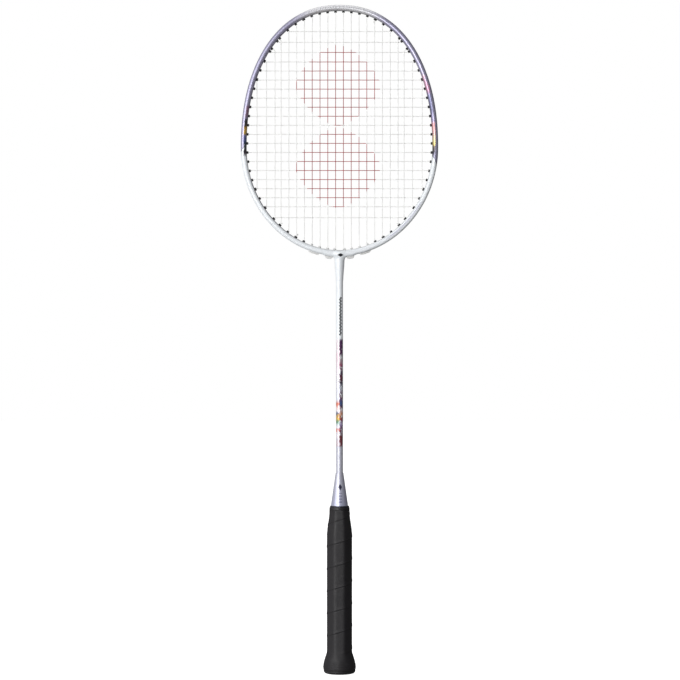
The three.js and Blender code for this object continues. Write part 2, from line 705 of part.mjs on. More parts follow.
for (const [side, sideName] of [[1, 'right'], [-1, 'left']]) {
  addPart(`grommet_strip_shoulder_${sideName}`, grommetStrip(shoulder, side), 'grommet');
  addPart(`grommet_strip_flank_${sideName}`, grommetStrip(flank, side), 'grommet');
  const outerGrommet = throatGrommet(throatOuter, side, CHANNEL_TOPS.outer);
  const innerGrommet = throatGrommet(throatInner, side, CHANNEL_TOPS.inner);
  addPart(`throat_grommet_outer_${sideName}`, outerGrommet, 'clearGrommet');
  addPart(`throat_grommet_inner_${sideName}`, innerGrommet, 'clearGrommet');
  for (const hole of HOLES.filter((candidate) => !grouped.has(candidate))) {
    addPart(singleName(hole, sideName), singleGrommet(hole, side), 'grommet');
  }
}

export default racket;
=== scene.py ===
# Badminton racket: the visual model round the imported CAD frame. Sizes are named in millimetres and meshes
# are made in metres. +Z runs from the butt to the tip of the head, X across the face, Y through it. The
# formulas of the hoop, its holes and the string pattern are those of the CAD model.

import math

import bmesh
import bpy
import numpy as np
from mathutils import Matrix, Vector


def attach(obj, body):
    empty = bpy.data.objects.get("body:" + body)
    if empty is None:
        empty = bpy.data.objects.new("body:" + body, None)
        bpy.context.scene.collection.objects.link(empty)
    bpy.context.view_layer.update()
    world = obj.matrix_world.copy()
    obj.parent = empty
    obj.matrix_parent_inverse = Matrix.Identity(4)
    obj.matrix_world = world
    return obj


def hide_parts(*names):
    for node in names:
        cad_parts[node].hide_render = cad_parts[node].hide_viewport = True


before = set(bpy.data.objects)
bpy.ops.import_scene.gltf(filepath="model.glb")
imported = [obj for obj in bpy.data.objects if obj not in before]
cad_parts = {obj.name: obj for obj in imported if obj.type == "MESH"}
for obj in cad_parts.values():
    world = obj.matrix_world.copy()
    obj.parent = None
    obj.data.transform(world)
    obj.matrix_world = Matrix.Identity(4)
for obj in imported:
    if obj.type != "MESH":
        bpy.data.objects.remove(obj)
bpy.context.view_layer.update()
MM = 0.001

# ---- driving dimensions ----

TUBE_WIDTH = 6.0
TUBE_DEPTH = 10.0
TUBE_SQUARENESS = 2.5
HOOP_HALF_WIDTH = 96.8
HOOP_WIDEST_Z = 531.0
HOOP_TOP_POWER = 2.2
HOOP_BOTTOM_POWER = 1.98
HOOP_BOTTOM_HEIGHT = 106.5
OVERALL_LENGTH = 675.0
HOOP_STATIONS = 640
LIP_HALF_WIDTH = 2.3
LIP_ANGLE = math.asin((LIP_HALF_WIDTH * 2 / TUBE_DEPTH) ** (TUBE_SQUARENESS / 2))
LIP_OFFSET = TUBE_WIDTH / 2 * math.cos(LIP_ANGLE) ** (2 / TUBE_SQUARENESS)
HOOP_TOP_HEIGHT = OVERALL_LENGTH - LIP_OFFSET - HOOP_WIDEST_Z
GROOVE_FLOOR = 1.2
GROOVE_HALF_WIDTH = 2.0
GROOVE_REACH = 9.0                # where the groove's cut through the throat ends, outside everything
GROOVE_CUT_X = (5.2, 33.0)        # its ends on the throat's side

THROAT_Z = 396.5
THROAT_PROFILE = [(396.5, 3.68), (405.0, 4.2), (411.0, 4.75), (416.0, 5.0), (426.0, 5.0)]
THROAT_TOP_Z = 424.5
THROAT_BLEND = 4.5                # reach of the fillet between throat and hoop
THROAT_FULLNESS = 1.0             # extra width of the tube beside the throat, on its outer side
THROAT_REACH = 25.0

SHAFT_RADIUS = 3.5
SHAFT_BORE_RADIUS = 2.2
SHAFT_BOTTOM_Z = 60.0
SHAFT_TOP_Z = 412.0
THROAT_SOCKET = 3.55
THROAT_GRID = 0.4                 # pitch of the grid that the throat's skin is found on

CONE_TOP_Z = 202.8
CONE_BOTTOM_Z = 164.3
CONE_PROFILE = [
    (6.2, CONE_BOTTOM_Z), (8.5, CONE_BOTTOM_Z), (8.5, 171.0), (4.05, 202.0), (3.85, CONE_TOP_Z),
    (3.6, CONE_TOP_Z), (3.6, 182.3), (5.2, 182.3)]
CORE_PROFILE = [(4.4, 13.9), (10, 14.1), (13.6, 13.4), (20.5, 11), (141, 11), (155, 9.4), (164, 8.7)]
GRIP_PROFILE = [
    (3.9, 15.9), (5.0, 16.5), (7.0, 16.6), (9.6, 16.3), (13.6, 15.4), (17.7, 14.1), (20.8, 13.0),
    (22.5, 12.75), (141, 12.75), (147, 12.2), (151, 11.6), (155, 11.0), (159, 10.5), (162, 10.3),
    (165.3, 10.2)]
FIT_GAP = 0.3
TAPE_PITCH = 22.6
TAPE_OVERLAP = 0.16               # share of the pitch over which the tape lies double
TAPE_STEP = 0.4
TAPE_START_Z = 25.5
BAND_PROFILE = [(8.8, 165.4), (10.25, 165.4), (10.2, 167.0), (9.75, 168.4), (9.4, 169.4), (8.8, 169.4)]
BUTT_PROFILE = [
    (0, 0.5), (8.6, 0.5), (9.2, 0.0), (12.6, 0.0), (14.8, 0.7), (15.9, 2.0), (16.2, 3.7), (3.5, 3.7),
    (3.5, 24.0), (2.5, 26.0), (0, 26.0)]

STRING_RADIUS = 0.34
KNOT_SIZE = 0.24
WEAVE = 0.36                      # how far a string swings to each side as it is woven
MAIN_PITCH = 7.88
MAINS_PER_SIDE = 11
CROSS_PITCH = 9.14
CROSS_COUNT = 21
CROSS_MIDDLE_Z = 553.7
STRING_LANE = 0.35
TIE_OFF_LANE = 1.05
MAIN_TAIL = 0.8                   # how far the tied ends come out of their holes
CROSS_TAIL = 1.2
LANE_OFFSET = 2.45
MOUTH_OFFSET = -5.2
TIP_OFFSET = -4.6
FLANGE_BOTTOM = 1.45
FLANGE_TOP = 1.95
FLANGE_HALF_WIDTH = 1.65
GROMMET_GAP = 0.2
SINGLE = (0.85, 1.35)             # bore and barrel radius
WIDE = (1.0, 1.6)
CHANNEL_TOPS = {"outer": 4.5, "inner": 6.3}
THROAT_LEAN = 0.5

# ---- camera, light and floor ----

CAMERA_DISTANCE = 2.6
CAMERA_X = 0.0005
CAMERA_HEIGHT = 0.3368
FRAME_HEIGHT = 0.6870             # height of the picture where the racket stands
SENSOR = 36.0
FLOOR_REACH = 8.0
BRIGHT_SIDE = (-0.86, -0.46, 0.20)


def make_camera():
    data = bpy.data.cameras.new("camera")
    data.sensor_width = SENSOR
    data.lens = SENSOR * CAMERA_DISTANCE / FRAME_HEIGHT
    data.clip_end = 50
    camera = bpy.data.objects.new("camera", data)
    camera.location = (CAMERA_X, -CAMERA_DISTANCE, CAMERA_HEIGHT)
    camera.rotation_euler = (math.pi / 2, 0, 0)
    bpy.context.scene.collection.objects.link(camera)
    bpy.context.scene.camera = camera


def make_light(name, place, aim, size, power):
    data = bpy.data.lights.new(name, "AREA")
    data.shape = "RECTANGLE"
    data.size, data.size_y = size
    data.energy = power
    lamp = bpy.data.objects.new(name, data)
    lamp.location = place
    lamp.rotation_euler = (Vector(aim) - Vector(place)).to_track_quat("-Z", "Y").to_euler()
    lamp.visible_camera = False
    bpy.context.scene.collection.objects.link(lamp)


make_camera()
bpy.context.scene.view_settings.view_transform = "Standard"
make_light("key", (-1.45, -1.6, 0.6), (0, 0, 0.36), (2.6, 2.4), 32)
make_light("front", (-0.8, -2.2, 0.35), (0, 0, 0.38), (1.1, 1.1), 14)
make_light("top", (0, 0.1, 2.2), (0, 0, 0.3), (1.6, 1.6), 8)


# ---- node materials ----

def srgb(red, green, blue):
    """A linear colour from 0 to 255 display values."""
    def linear(value):
        value /= 255
        return value / 12.92 if value <= 0.04045 else ((value + 0.055) / 1.055) ** 2.4
    return (linear(red), linear(green), linear(blue), 1.0)


class Finish:
    """A Principled material. Its methods add nodes and give back output sockets; places are in mm."""

    def __init__(self, name, **constants):
        self.material = bpy.data.materials.new(name)
        self.material.use_nodes = True
        self.tree = self.material.node_tree
        self.shader = self.tree.nodes["Principled BSDF"]
        for key, value in constants.items():
            self.shader.inputs[key.replace("_", " ")].default_value = value
        metres = self.node("ShaderNodeTexCoord").outputs["Object"]
        scaled = self.node("ShaderNodeVectorMath", {0: metres, "Scale": 1 / MM}, operation="SCALE")
        self.place = scaled.outputs[0]
        self.x, self.y, self.z = self.node("ShaderNodeSeparateXYZ", {0: self.place}).outputs

    def node(self, kind, inputs=None, **settings):
        made = self.tree.nodes.new(kind)
        for key, value in settings.items():
            setattr(made, key, value)
        for key, value in (inputs or {}).items():
            if isinstance(value, bpy.types.NodeSocket):
                self.tree.links.new(value, made.inputs[key])
            else:
                made.inputs[key].default_value = value
        return made

    def feed(self, name, source):
        self.tree.links.new(source, self.shader.inputs[name])

    def math(self, operation, *values):
        return self.node("ShaderNodeMath", dict(enumerate(values)), operation=operation).outputs[0]

    def times(self, first, *others):
        for other in others:
            first = self.math("MULTIPLY", first, other)
        return first

    def plus(self, first, *others):
        for other in others:
            first = self.math("ADD", first, other)
        return first

    def apart(self, value, middle):
        return self.math("ABSOLUTE", self.math("SUBTRACT", value, middle))

    def shaken(self, value, noise, reach):
        """The value moved up and down by a noise, over the reach in all."""
        return self.plus(value, self.times(self.math("SUBTRACT", noise, 0.5), reach))

    def lozenge(self, x, z, half_width, half_height):
        """0 in the middle of a lozenge on the front or back, 1 on its outline."""
        across = self.math("DIVIDE", self.apart(self.x, x), half_width)
        return self.plus(across, self.math("DIVIDE", self.apart(self.z, z), half_height))

    def step(self, value, low, high):
        """0 at low, 1 at high, smooth between them; low may be the larger."""
        made = self.node(
            "ShaderNodeMapRange", {"Value": value, "From Min": low, "From Max": high},
            interpolation_type="SMOOTHSTEP")
        return made.outputs["Result"]

    def window(self, value, low, high, soft):
        """1 between low and high, 0 outside."""
        rise, fall = self.step(value, low - soft, low + soft), self.step(value, high + soft, high - soft)
        return self.times(rise, fall)

    def mix(self, factor, first, second):
        made = self.node("ShaderNodeMix", {0: factor, 6: first, 7: second}, data_type="RGBA")
        return made.outputs[2]

    def ramp(self, value, low, high, stops):
        """A colour along value; stops are (value, colour) from low to high."""
        share = self.node(
            "ShaderNodeMapRange", {"Value": value, "From Min": low, "From Max": high}).outputs["Result"]
        made = self.node("ShaderNodeValToRGB", {0: share})
        made.color_ramp.interpolation = "LINEAR"
        elements = made.color_ramp.elements
        while len(elements) < len(stops):
            elements.new(0.5)
        for element, (at, colour) in zip(elements, sorted(stops)):
            element.position = (at - low) / (high - low)
            element.color = colour
        return made.outputs["Color"]

    def stretched(self, *scales):
        made = self.node("ShaderNodeVectorMath", {0: self.place, 1: scales}, operation="MULTIPLY")
        return made.outputs[0]

    def noise(self, scale, detail=2.0, where=None, roughness=0.5):
        made = self.node("ShaderNodeTexNoise", {
            "Vector": where or self.place, "Scale": scale, "Detail": detail, "Roughness": roughness})
        return made.outputs["Fac"]

    def mottled(self, scale, detail, dark, light):
        """A soft noise between two colours."""
        return self.ramp(self.noise(scale, detail), 0.3, 0.7, [(0.3, dark), (0.7, light)])

    def cells(self, scale, where=None, output="Distance"):
        made = self.node("ShaderNodeTexVoronoi", {"Vector": where or self.place, "Scale": scale})
        return made.outputs[output]

    def bump(self, height, distance, strength=1.0, below=None):
        inputs = {"Height": height, "Distance": distance * MM, "Strength": strength}
        if below:
            inputs["Normal"] = below
        return self.node("ShaderNodeBump", inputs).outputs["Normal"]

    def grain(self, scale, detail, distance, strength):
        """Fine noise bumps all over."""
        self.feed("Normal", self.bump(self.noise(scale, detail), distance, strength))


def plain_floor():
    finish = Finish("floor_white", Roughness=0.9, Emission_Strength=1.0)
    finish.shader.inputs["Emission Color"].default_value = (1, 1, 1, 1)
    finish.feed("Base Color", finish.mix(
        finish.noise(0.02), (0.80, 0.80, 0.81, 1), (0.84, 0.84, 0.84, 1)))
    mesh = bpy.data.meshes.new("floor")
    corners = ((-1, -1), (1, -1), (1, 1), (-1, 1))
    mesh.from_pydata([(x * FLOOR_REACH, y * FLOOR_REACH, 0) for x, y in corners], [], [(0, 1, 2, 3)])
    mesh.materials.append(finish.material)
    floor = bpy.data.objects.new("floor", mesh)
    bpy.context.scene.collection.objects.link(floor)
    floor.visible_diffuse = False
    floor.visible_glossy = False
    floor.visible_shadow = False


def studio_world():
    """White behind the racket; as light, a soft surround that is brightest at the left front and above."""
    world = bpy.data.worlds.new("studio")
    bpy.context.scene.world = world
    world.use_nodes = True
    tree = world.node_tree
    new, link = tree.nodes.new, tree.links.new
    light = tree.nodes["Background"]
    side = new("ShaderNodeVectorMath")
    side.operation = "DOT_PRODUCT"
    link(new("ShaderNodeTexCoord").outputs["Generated"], side.inputs[0])
    side.inputs[1].default_value = BRIGHT_SIDE
    level = new("ShaderNodeMapRange")
    level.interpolation_type = "SMOOTHSTEP"
    link(side.outputs["Value"], level.inputs["Value"])
    for name, value in (("From Min", -0.75), ("From Max", 0.9), ("To Min", 0.11), ("To Max", 0.46)):
        level.inputs[name].default_value = value
    link(level.outputs["Result"], light.inputs["Strength"])
    light.inputs["Color"].default_value = (1, 1, 1, 1)
    white = new("ShaderNodeBackground")
    white.inputs["Color"].default_value = (1, 1, 1, 1)
    white.inputs["Strength"].default_value = 1.0
    choice = new("ShaderNodeMixShader")
    link(new("ShaderNodeLightPath").outputs["Is Camera Ray"], choice.inputs[0])
    link(light.outputs[0], choice.inputs[1])
    link(white.outputs[0], choice.inputs[2])
    link(choice.outputs[0], tree.nodes["World Output"].inputs["Surface"])


plain_floor()
studio_world()

# ---- mesh tools: a shape is (points in mm, faces) ----


def grid_faces(rows, columns, close_rows=False, close_columns=True):
    """Quads over points laid out row by row; a closed direction joins its end to its start."""
    row, column = np.meshgrid(
        np.arange(rows - (not close_rows)), np.arange(columns - (not close_columns)), indexing="ij")
    next_row, next_column = (row + 1) % rows, (column + 1) % columns
    quads = np.stack([
        row * columns + column, row * columns + next_column,
        next_row * columns + next_column, next_row * columns + column], axis=-1)
    return quads.reshape(-1, 4).tolist()


def merged(*shapes):
    points, faces, start = [], [], 0
    for some_points, some_faces in shapes:
        points.append(np.asarray(some_points, float))
        faces += [[start + index for index in face] for face in some_faces]
        start += len(some_points)
    return np.concatenate(points), faces


def loose_object(shape):
    mesh = bpy.data.meshes.new("loose")
    mesh.from_pydata(np.asarray(shape[0], float).tolist(), [], shape[1])
    clean_normals(mesh)
    loose = bpy.data.objects.new("loose", mesh)
    bpy.context.scene.collection.objects.link(loose)
    return loose


def clean_normals(mesh):
    build = bmesh.new()
    build.from_mesh(mesh)
    bmesh.ops.recalc_face_normals(build, faces=build.faces)
    build.to_mesh(mesh)
    build.free()


def combined(shape, other, operation, solver="MANIFOLD"):
    """The union or difference of two closed shapes."""
    base, tool = loose_object(shape), loose_object(other)
    modifier = base.modifiers.new("solid", "BOOLEAN")
    modifier.operation = operation
    modifier.solver = solver
    modifier.object = tool
    bpy.context.view_layer.update()
    result = bpy.data.meshes.new_from_object(base.evaluated_get(bpy.context.evaluated_depsgraph_get()))
    points = np.empty(len(result.vertices) * 3)
    result.vertices.foreach_get("co", points)
    faces = [list(face.vertices) for face in result.polygons]
    for loose in (base, tool):
        bpy.data.objects.remove(loose)
    return points.reshape(-1, 3), faces


def new_piece(name, shape, finish, slot, *nodes, sharp=35):
    mesh = bpy.data.meshes.new(name)
    mesh.from_pydata((np.asarray(shape[0], float) * MM).tolist(), [], shape[1])
    clean_normals(mesh)
    mesh.shade_smooth()
    mesh.set_sharp_from_angle(angle=math.radians(sharp))
    mesh.materials.append(finish.material)
    piece = bpy.data.objects.new(name, mesh)
    bpy.context.scene.collection.objects.link(piece)
    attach(piece, "root")
    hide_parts(*nodes)
    return piece


def rounded(points, radius, closed=False, steps=4):
    """The same line with each corner turned into a short curve."""
    points = np.asarray(points, float)
    count = len(points)
    out = []
    for i, corner in enumerate(points):
        if not closed and i in (0, count - 1):
            out.append(corner)
            continue
        before, after = points[i - 1] - corner, points[(i + 1) % count] - corner
        long_before, long_after = np.linalg.norm(before), np.linalg.norm(after)
        if long_before < 1e-9 or long_after < 1e-9:
            continue
        straight = -np.dot(before, after) / (long_before * long_after)
        if straight > 0.985:
            out.append(corner)
            continue
        cut = min(radius, 0.45 * long_before, 0.45 * long_after)
        start, end = corner + before / long_before * cut, corner + after / long_after * cut
        for t in np.linspace(0, 1, steps + 1):
            out.append((1 - t) ** 2 * start + 2 * t * (1 - t) * corner + t * t * end)
    return np.array(out)


def turned(profile, segments, place=None):
    """A body turned about Z from (radius, height) points: a ring, or a solid if it starts at radius 0."""
    profile = np.asarray(profile, float)
    turn = np.arange(segments) * 2 * math.pi / segments
    solid = profile[0][0] == 0
    rows = profile[1:-1] if solid else profile
    points = np.stack([
        rows[:, None, 0] * np.cos(turn), rows[:, None, 0] * np.sin(turn),
        np.repeat(rows[:, 1:2], segments, axis=1)], axis=-1).reshape(-1, 3)
    faces = grid_faces(len(rows), segments, close_rows=not solid)
    if solid:
        ends = [(0, 0, profile[0][1]), (0, 0, profile[-1][1])]
        points = np.concatenate([points, ends])
        last = len(rows) * segments
        for i in range(segments):
            j = (i + 1) % segments
            faces += [[last, j, i], [last + 1, last - segments + i, last - segments + j]]
    return (place(points) if place else points), faces


def swept(path, radius, sides):
    """A round closed rod along a path."""
    path = np.asarray(path, float)
    tangents = np.gradient(path, axis=0)
    tangents /= np.linalg.norm(tangents, axis=1)[:, None]
    across = np.cross(tangents[0], (0.31, 0.87, 0.38))
    firsts = []
    for tangent in tangents:
        across = across - tangent * np.dot(across, tangent)
        across /= np.linalg.norm(across)
        firsts.append(across)
    firsts = np.array(firsts)
    seconds = np.cross(tangents, firsts)
    turn = np.arange(sides) * 2 * math.pi / sides
    points = path[:, None] + radius * (
        np.cos(turn)[None, :, None] * firsts[:, None] + np.sin(turn)[None, :, None] * seconds[:, None])
    count = len(path) * sides
    caps = [list(range(sides)), list(range(count - 1, count - sides - 1, -1))]
    return points.reshape(-1, 3), grid_faces(len(path), sides) + caps


# ---- the hoop's line ----

def signed_power(value, power):
    return np.sign(value) * np.abs(value) ** power


def hoop_line(angle):
    """x, z and outward normal of the centre line; angle 0 is +X, a quarter turn is the tip."""
    c, s = np.cos(angle), np.sin(angle)
    top = s > 0
    power = np.where(top, HOOP_TOP_POWER, HOOP_BOTTOM_POWER)
    height = np.where(top, HOOP_TOP_HEIGHT, HOOP_BOTTOM_HEIGHT)
    x, z = HOOP_HALF_WIDTH * signed_power(c, 2 / power), height * signed_power(s, 2 / power)
    nx = signed_power(x / HOOP_HALF_WIDTH, power - 1) / HOOP_HALF_WIDTH
    nz = signed_power(z / height, power - 1) / height
    size = np.hypot(nx, nz)
    return x, z + HOOP_WIDEST_Z, nx / size, nz / size


def hoop_points(angle, offset, y=0.0):
    x, z, nx, nz = hoop_line(np.asarray(angle, float))
    return np.stack(np.broadcast_arrays(x + nx * offset, y, z + nz * offset), axis=-1)


def even_angles(count):
    """Angles round the hoop at even spacing along its line."""
    dense = np.linspace(0, 2 * math.pi, 20001)
    x, z, _, _ = hoop_line(dense)
    run = np.concatenate([[0], np.cumsum(np.hypot(np.diff(x), np.diff(z)))])
    return np.interp(np.arange(count) / count * run[-1], run, dense)


def angle_at(offset, axis, value, low, high):
    """Angle in [low, high] where the line at this offset reaches a given x (axis 0) or z (axis 2)."""
    rising = hoop_points(high, offset)[axis] > hoop_points(low, offset)[axis]
    for _ in range(50):
        middle = (low + high) / 2
        if (hoop_points(middle, offset)[axis] > value) == rising:
            high = middle
        else:
            low = middle
    return (low + high) / 2


def bent_bar(section, angles, swell=1.0):
    """A closed bar that follows the hoop; section points are (offset, y), and swell scales its height."""
    section = np.asarray(section, float)
    swell = np.broadcast_to(swell, len(angles))[:, None]
    foot = section[:, 0].min()
    offset = foot + (section[None, :, 0] - foot) * swell
    points = hoop_points(np.asarray(angles)[:, None], offset, section[None, :, 1])
    count, sides = len(angles) * len(section), len(section)
    caps = [list(range(sides)), list(range(count - 1, count - sides - 1, -1))]
    return points.reshape(-1, 3), grid_faces(len(angles), sides) + caps


# ---- string pattern and holes ----

def main_x(number):
    return MAIN_PITCH * (MAINS_PER_SIDE - number + 0.5)


def cross_z(number):
    extra = {1: 3.3, 2: 1.6, 3: 0.5, 21: -1.9}.get(number, 0)
    return CROSS_MIDDLE_Z + CROSS_PITCH * ((CROSS_COUNT + 1) / 2 - number) + extra


# holes of the right side from the tip to the throat: (main, cross), 0 for none; WIDE_TIES are tie-off holes
HOLE_PATTERN = (
    [(11, 0), (10, 0), (9, 0), (8, 0), (7, 0), (6, 0), (5, 0), (0, 1), (4, 0), (0, 2), (3, 0), (0, 3)]
    + [(2, 4), (0, 5), (1, 6)] + [(0, cross) for cross in range(7, 18)]
    + [(1, 18), (0, 19), (2, 20), (3, 21), (4, 0), (5, 0), (6, 0), (7, 0), (8, 0), (9, 0), (10, 0), (11, 0)])
LOWER_HALF_STARTS = HOLE_PATTERN.index((1, 18))
WIDE_TIES = {(7, True), (4, False), (6, False)}


class Hole:
    def __init__(self, main, cross, top):
        self.main, self.cross, self.top = main, cross, top
        if cross:
            self.angle = angle_at(MOUTH_OFFSET, 2, cross_z(cross), -math.pi / 2, math.pi / 2)
        elif top:
            self.angle = angle_at(MOUTH_OFFSET, 0, main_x(main), 0, math.pi / 2)
        else:
            self.angle = angle_at(MOUTH_OFFSET, 0, main_x(main), -math.pi / 2, 0)
        _, _, nx, nz = hoop_line(self.angle)
        self.normal = np.array([nx, 0, nz])
        self.mouth = hoop_points(self.angle, MOUTH_OFFSET)
        lean = THROAT_LEAN if main == MAINS_PER_SIDE and not top else 0.0
        self.axis = np.array([
            nx * math.cos(lean) - nz * math.sin(lean), 0, nz * math.cos(lean) + nx * math.sin(lean)])
        self.leans = lean > 0
        wide = (main and cross) or (main, top) in WIDE_TIES
        self.bore, self.barrel = WIDE if wide else SINGLE

    def point(self, side, offset, y=0.0):
        """A point of the hole's axis on the right (side 1) or the left (side -1)."""
        run = (offset - MOUTH_OFFSET) / np.dot(self.axis, self.normal)
        x, _, z = self.mouth + self.axis * run
        return np.array([x * side, y, z])

    def placed(self, side):
        """Carries points turned about Z, with offsets as heights, into the hole."""
        stretch = 1 / np.dot(self.axis, self.normal)
        axis = self.axis * (side, 1, 1)
        across = np.array([-axis[2], 0, axis[0]])
        start = self.mouth * (side, 1, 1)

        def place(points):
            height = (points[:, 2:3] - MOUTH_OFFSET) * stretch
            return start + points[:, 0:1] * across + points[:, 1:2] * (0, 1, 0) + height * axis
        return place


HOLES = [Hole(main, cross, index < LOWER_HALF_STARTS) for index, (main, cross) in enumerate(HOLE_PATTERN)]
SIDES = ((1, "right"), (-1, "left"))


def hole_index(kind, number, top=None):
    for index, hole in enumerate(HOLES):
        if getattr(hole, kind) == number and (kind == "cross" or hole.top == top):
            return index
    raise ValueError((kind, number, top))


def drill(hole, side, radius, low=-6.0, high=6.5):
    return turned([(0, low), (radius, low), (radius, high), (0, high)], 20, hole.placed(side))


# ---- head ----

def hoop_section():
    """The tube's outline as (offset, y), from one lip of the groove round the inside to the other."""
    turn = LIP_ANGLE + (2 * math.pi - 2 * LIP_ANGLE) * np.linspace(0, 1, 45)
    power = 2 / TUBE_SQUARENESS
    outside = np.stack([
        TUBE_WIDTH / 2 * signed_power(np.cos(turn), power),
        TUBE_DEPTH / 2 * signed_power(np.sin(turn), power)], axis=-1)
    wall = np.array([
        (LIP_OFFSET - 0.12, LIP_HALF_WIDTH - 0.16), (LIP_OFFSET - 0.5, GROOVE_HALF_WIDTH + 0.08),
        (GROOVE_FLOOR + 0.35, GROOVE_HALF_WIDTH + 0.02),
        (GROOVE_FLOOR, GROOVE_HALF_WIDTH - 0.3)])
    floor = np.array([(GROOVE_FLOOR, y) for y in (-0.85, 0.0, 0.85)])
    return np.concatenate([outside, wall * (1, -1), floor, wall[::-1]])


def hoop_tube():
    angles, section = even_angles(HOOP_STATIONS), hoop_section()
    points = hoop_points(angles[:, None], section[None, :, 0], section[None, :, 1])
    return points.reshape(-1, 3), grid_faces(len(angles), len(section), close_rows=True)


def hoop_offset(x, z):
    """Distance outwards from the centre line of the lower half of the hoop."""
    foot_x, foot_z = x.copy(), z.copy()
    power = HOOP_BOTTOM_POWER
    for _ in range(3):
        u = np.abs(foot_x) / HOOP_HALF_WIDTH
        w = np.abs(foot_z - HOOP_WIDEST_Z) / HOOP_BOTTOM_HEIGHT
        level = (u ** power + w ** power) ** (1 / power)
        gx = np.sign(foot_x) * u ** (power - 1) / HOOP_HALF_WIDTH * level ** (1 - power)
        gz = -(w ** (power - 1)) / HOOP_BOTTOM_HEIGHT * level ** (1 - power)
        size = np.hypot(gx, gz)
        foot_x, foot_z = foot_x - (level - 1) * gx / size ** 2, foot_z - (level - 1) * gz / size ** 2
    return ((x - foot_x) * gx + (z - foot_z) * gz) / size


def throat_field(points):
    """Negative inside the throat, which blends into the hoop; roughly the distance in mm."""
    x, y, z = points.T
    inset = 0.1 + np.clip((np.abs(x) - 16) / 6, 0, 1) * 0.9
    fuller = np.clip((18.6 - np.abs(x)) / 5, 0, 1) * THROAT_FULLNESS / 2
    offset = hoop_offset(x, z) - fuller
    half_width, half_depth = TUBE_WIDTH / 2 - inset + fuller, TUBE_DEPTH / 2 - inset
    power = TUBE_SQUARENESS
    level = (np.abs(offset / half_width) ** power + np.abs(y / half_depth) ** power) ** (1 / power)
    tube = np.hypot(offset, y) * (1 - 1 / np.maximum(level, 1e-3))
    heights, radii = np.array(THROAT_PROFILE).T
    radius = np.interp(z, heights, radii)
    flat = 1 + 0.16 * np.clip((z - 412) / 10, 0, 1)
    neck = np.maximum(np.hypot(x, y * flat) - radius, np.maximum(z - THROAT_TOP_Z, THROAT_Z - z))
    share = np.clip(0.5 + 0.5 * (neck - tube) / THROAT_BLEND, 0, 1)
    both = neck + (tube - neck) * share - THROAT_BLEND * share * (1 - share)
    cut = np.maximum(np.abs(x) - THROAT_REACH, THROAT_Z - z)
    return np.maximum(both, cut)


def surface_net(field, low, high, pitch):
    """A closed mesh of the places where the field is zero, from a regular grid of its values."""
    axes = [np.arange(a, b + pitch, pitch) for a, b in zip(low, high)]
    grid = np.stack(np.meshgrid(*axes, indexing="ij"), axis=-1)
    values = field(grid.reshape(-1, 3)).reshape(grid.shape[:3])
    inside = values < 0
    cells = tuple(n - 1 for n in values.shape)
    total, hits = np.zeros(cells + (3,)), np.zeros(cells)
    for axis in range(3):
        ahead = np.roll(values, -1, axis)
        share = values / np.where(values == ahead, 1, values - ahead)
        crossing = grid + share[..., None] * pitch * np.eye(3)[axis]
        changes = inside != np.roll(inside, -1, axis)
        others = [a for a in range(3) if a != axis]
        for first in (0, 1):
            for second in (0, 1):
                shift = [0, 0, 0]
                shift[others[0]], shift[others[1]] = first, second
                part = tuple(slice(s, s + n) for s, n in zip(shift, cells))
                total += crossing[part] * changes[part][..., None]
                hits += changes[part]
    active = hits > 0
    number = np.full(cells, -1)
    number[active] = np.arange(active.sum())
    points = total[active] / hits[active][:, None]
    faces = []
    for axis in range(3):
        one, two = [a for a in range(3) if a != axis]
        changes = inside != np.roll(inside, -1, axis)
        trimmed = [slice(0, n) for n in cells]
        trimmed[one], trimmed[two] = slice(1, cells[one]), slice(1, cells[two])
        place = np.argwhere(changes[tuple(trimmed)])
        place[:, one] += 1
        place[:, two] += 1
        corners = []
        for back_one, back_two in ((0, 0), (1, 0), (1, 1), (0, 1)):
            cell = place.copy()
            cell[:, one] -= back_one
            cell[:, two] -= back_two
            corners.append(number[tuple(cell.T)])
        faces += np.stack(corners, axis=-1).tolist()
    for _ in range(4):
        here = field(points)
        slope = np.stack([
            (field(points + step) - field(points - step)) / 0.02
            for step in np.eye(3) * 0.01], axis=-1)
        size = np.maximum((slope ** 2).sum(axis=1), 0.05)
        move = slope * (here / size)[:, None]
        points = points - np.clip(move, -pitch / 2, pitch / 2)
    return points, faces


def head_shape():
    low, high = (-THROAT_REACH - 1, -7.5, THROAT_Z - 1), (THROAT_REACH + 1, 7.5, 436)
    throat = surface_net(throat_field, low, high, THROAT_GRID)
    head = combined(hoop_tube(), throat, "UNION")
    floor, half = GROOVE_FLOOR + 0.02, GROOVE_HALF_WIDTH - 0.02
    groove = [(floor, -half), (GROOVE_REACH, -half), (GROOVE_REACH, half), (floor, half)]
    cuts = []
    for side, _ in SIDES:
        turns = [angle_at(GROOVE_FLOOR, 0, x, -math.pi / 2, 0) for x in GROOVE_CUT_X]
        angles = np.linspace(*turns, 40)
        cuts.append(bent_bar(groove, angles if side > 0 else math.pi - angles[::-1]))
    low, high = THROAT_Z - 3, SHAFT_TOP_Z + 0.3
    cuts.append(turned([(0, low), (THROAT_SOCKET, low), (THROAT_SOCKET, high), (0, high)], 48))
    head = combined(head, merged(*cuts), "DIFFERENCE")
    for every_other in (HOLES[::2], HOLES[1::2]):
        drills = [drill(hole, side, hole.barrel + GROMMET_GAP) for hole in every_other for side, _ in SIDES]
        head = combined(head, merged(*drills), "DIFFERENCE")
    return head


# ---- grommets ----

def grommet_profile(bore, barrel):
    flange = max(FLANGE_HALF_WIDTH, barrel + 0.25)
    ring = [
        (bore, TIP_OFFSET), (barrel, TIP_OFFSET), (barrel, FLANGE_BOTTOM), (flange, FLANGE_BOTTOM),
        (flange, FLANGE_TOP), (bore, FLANGE_TOP)]
    return rounded(ring, 0.16, closed=True, steps=3)


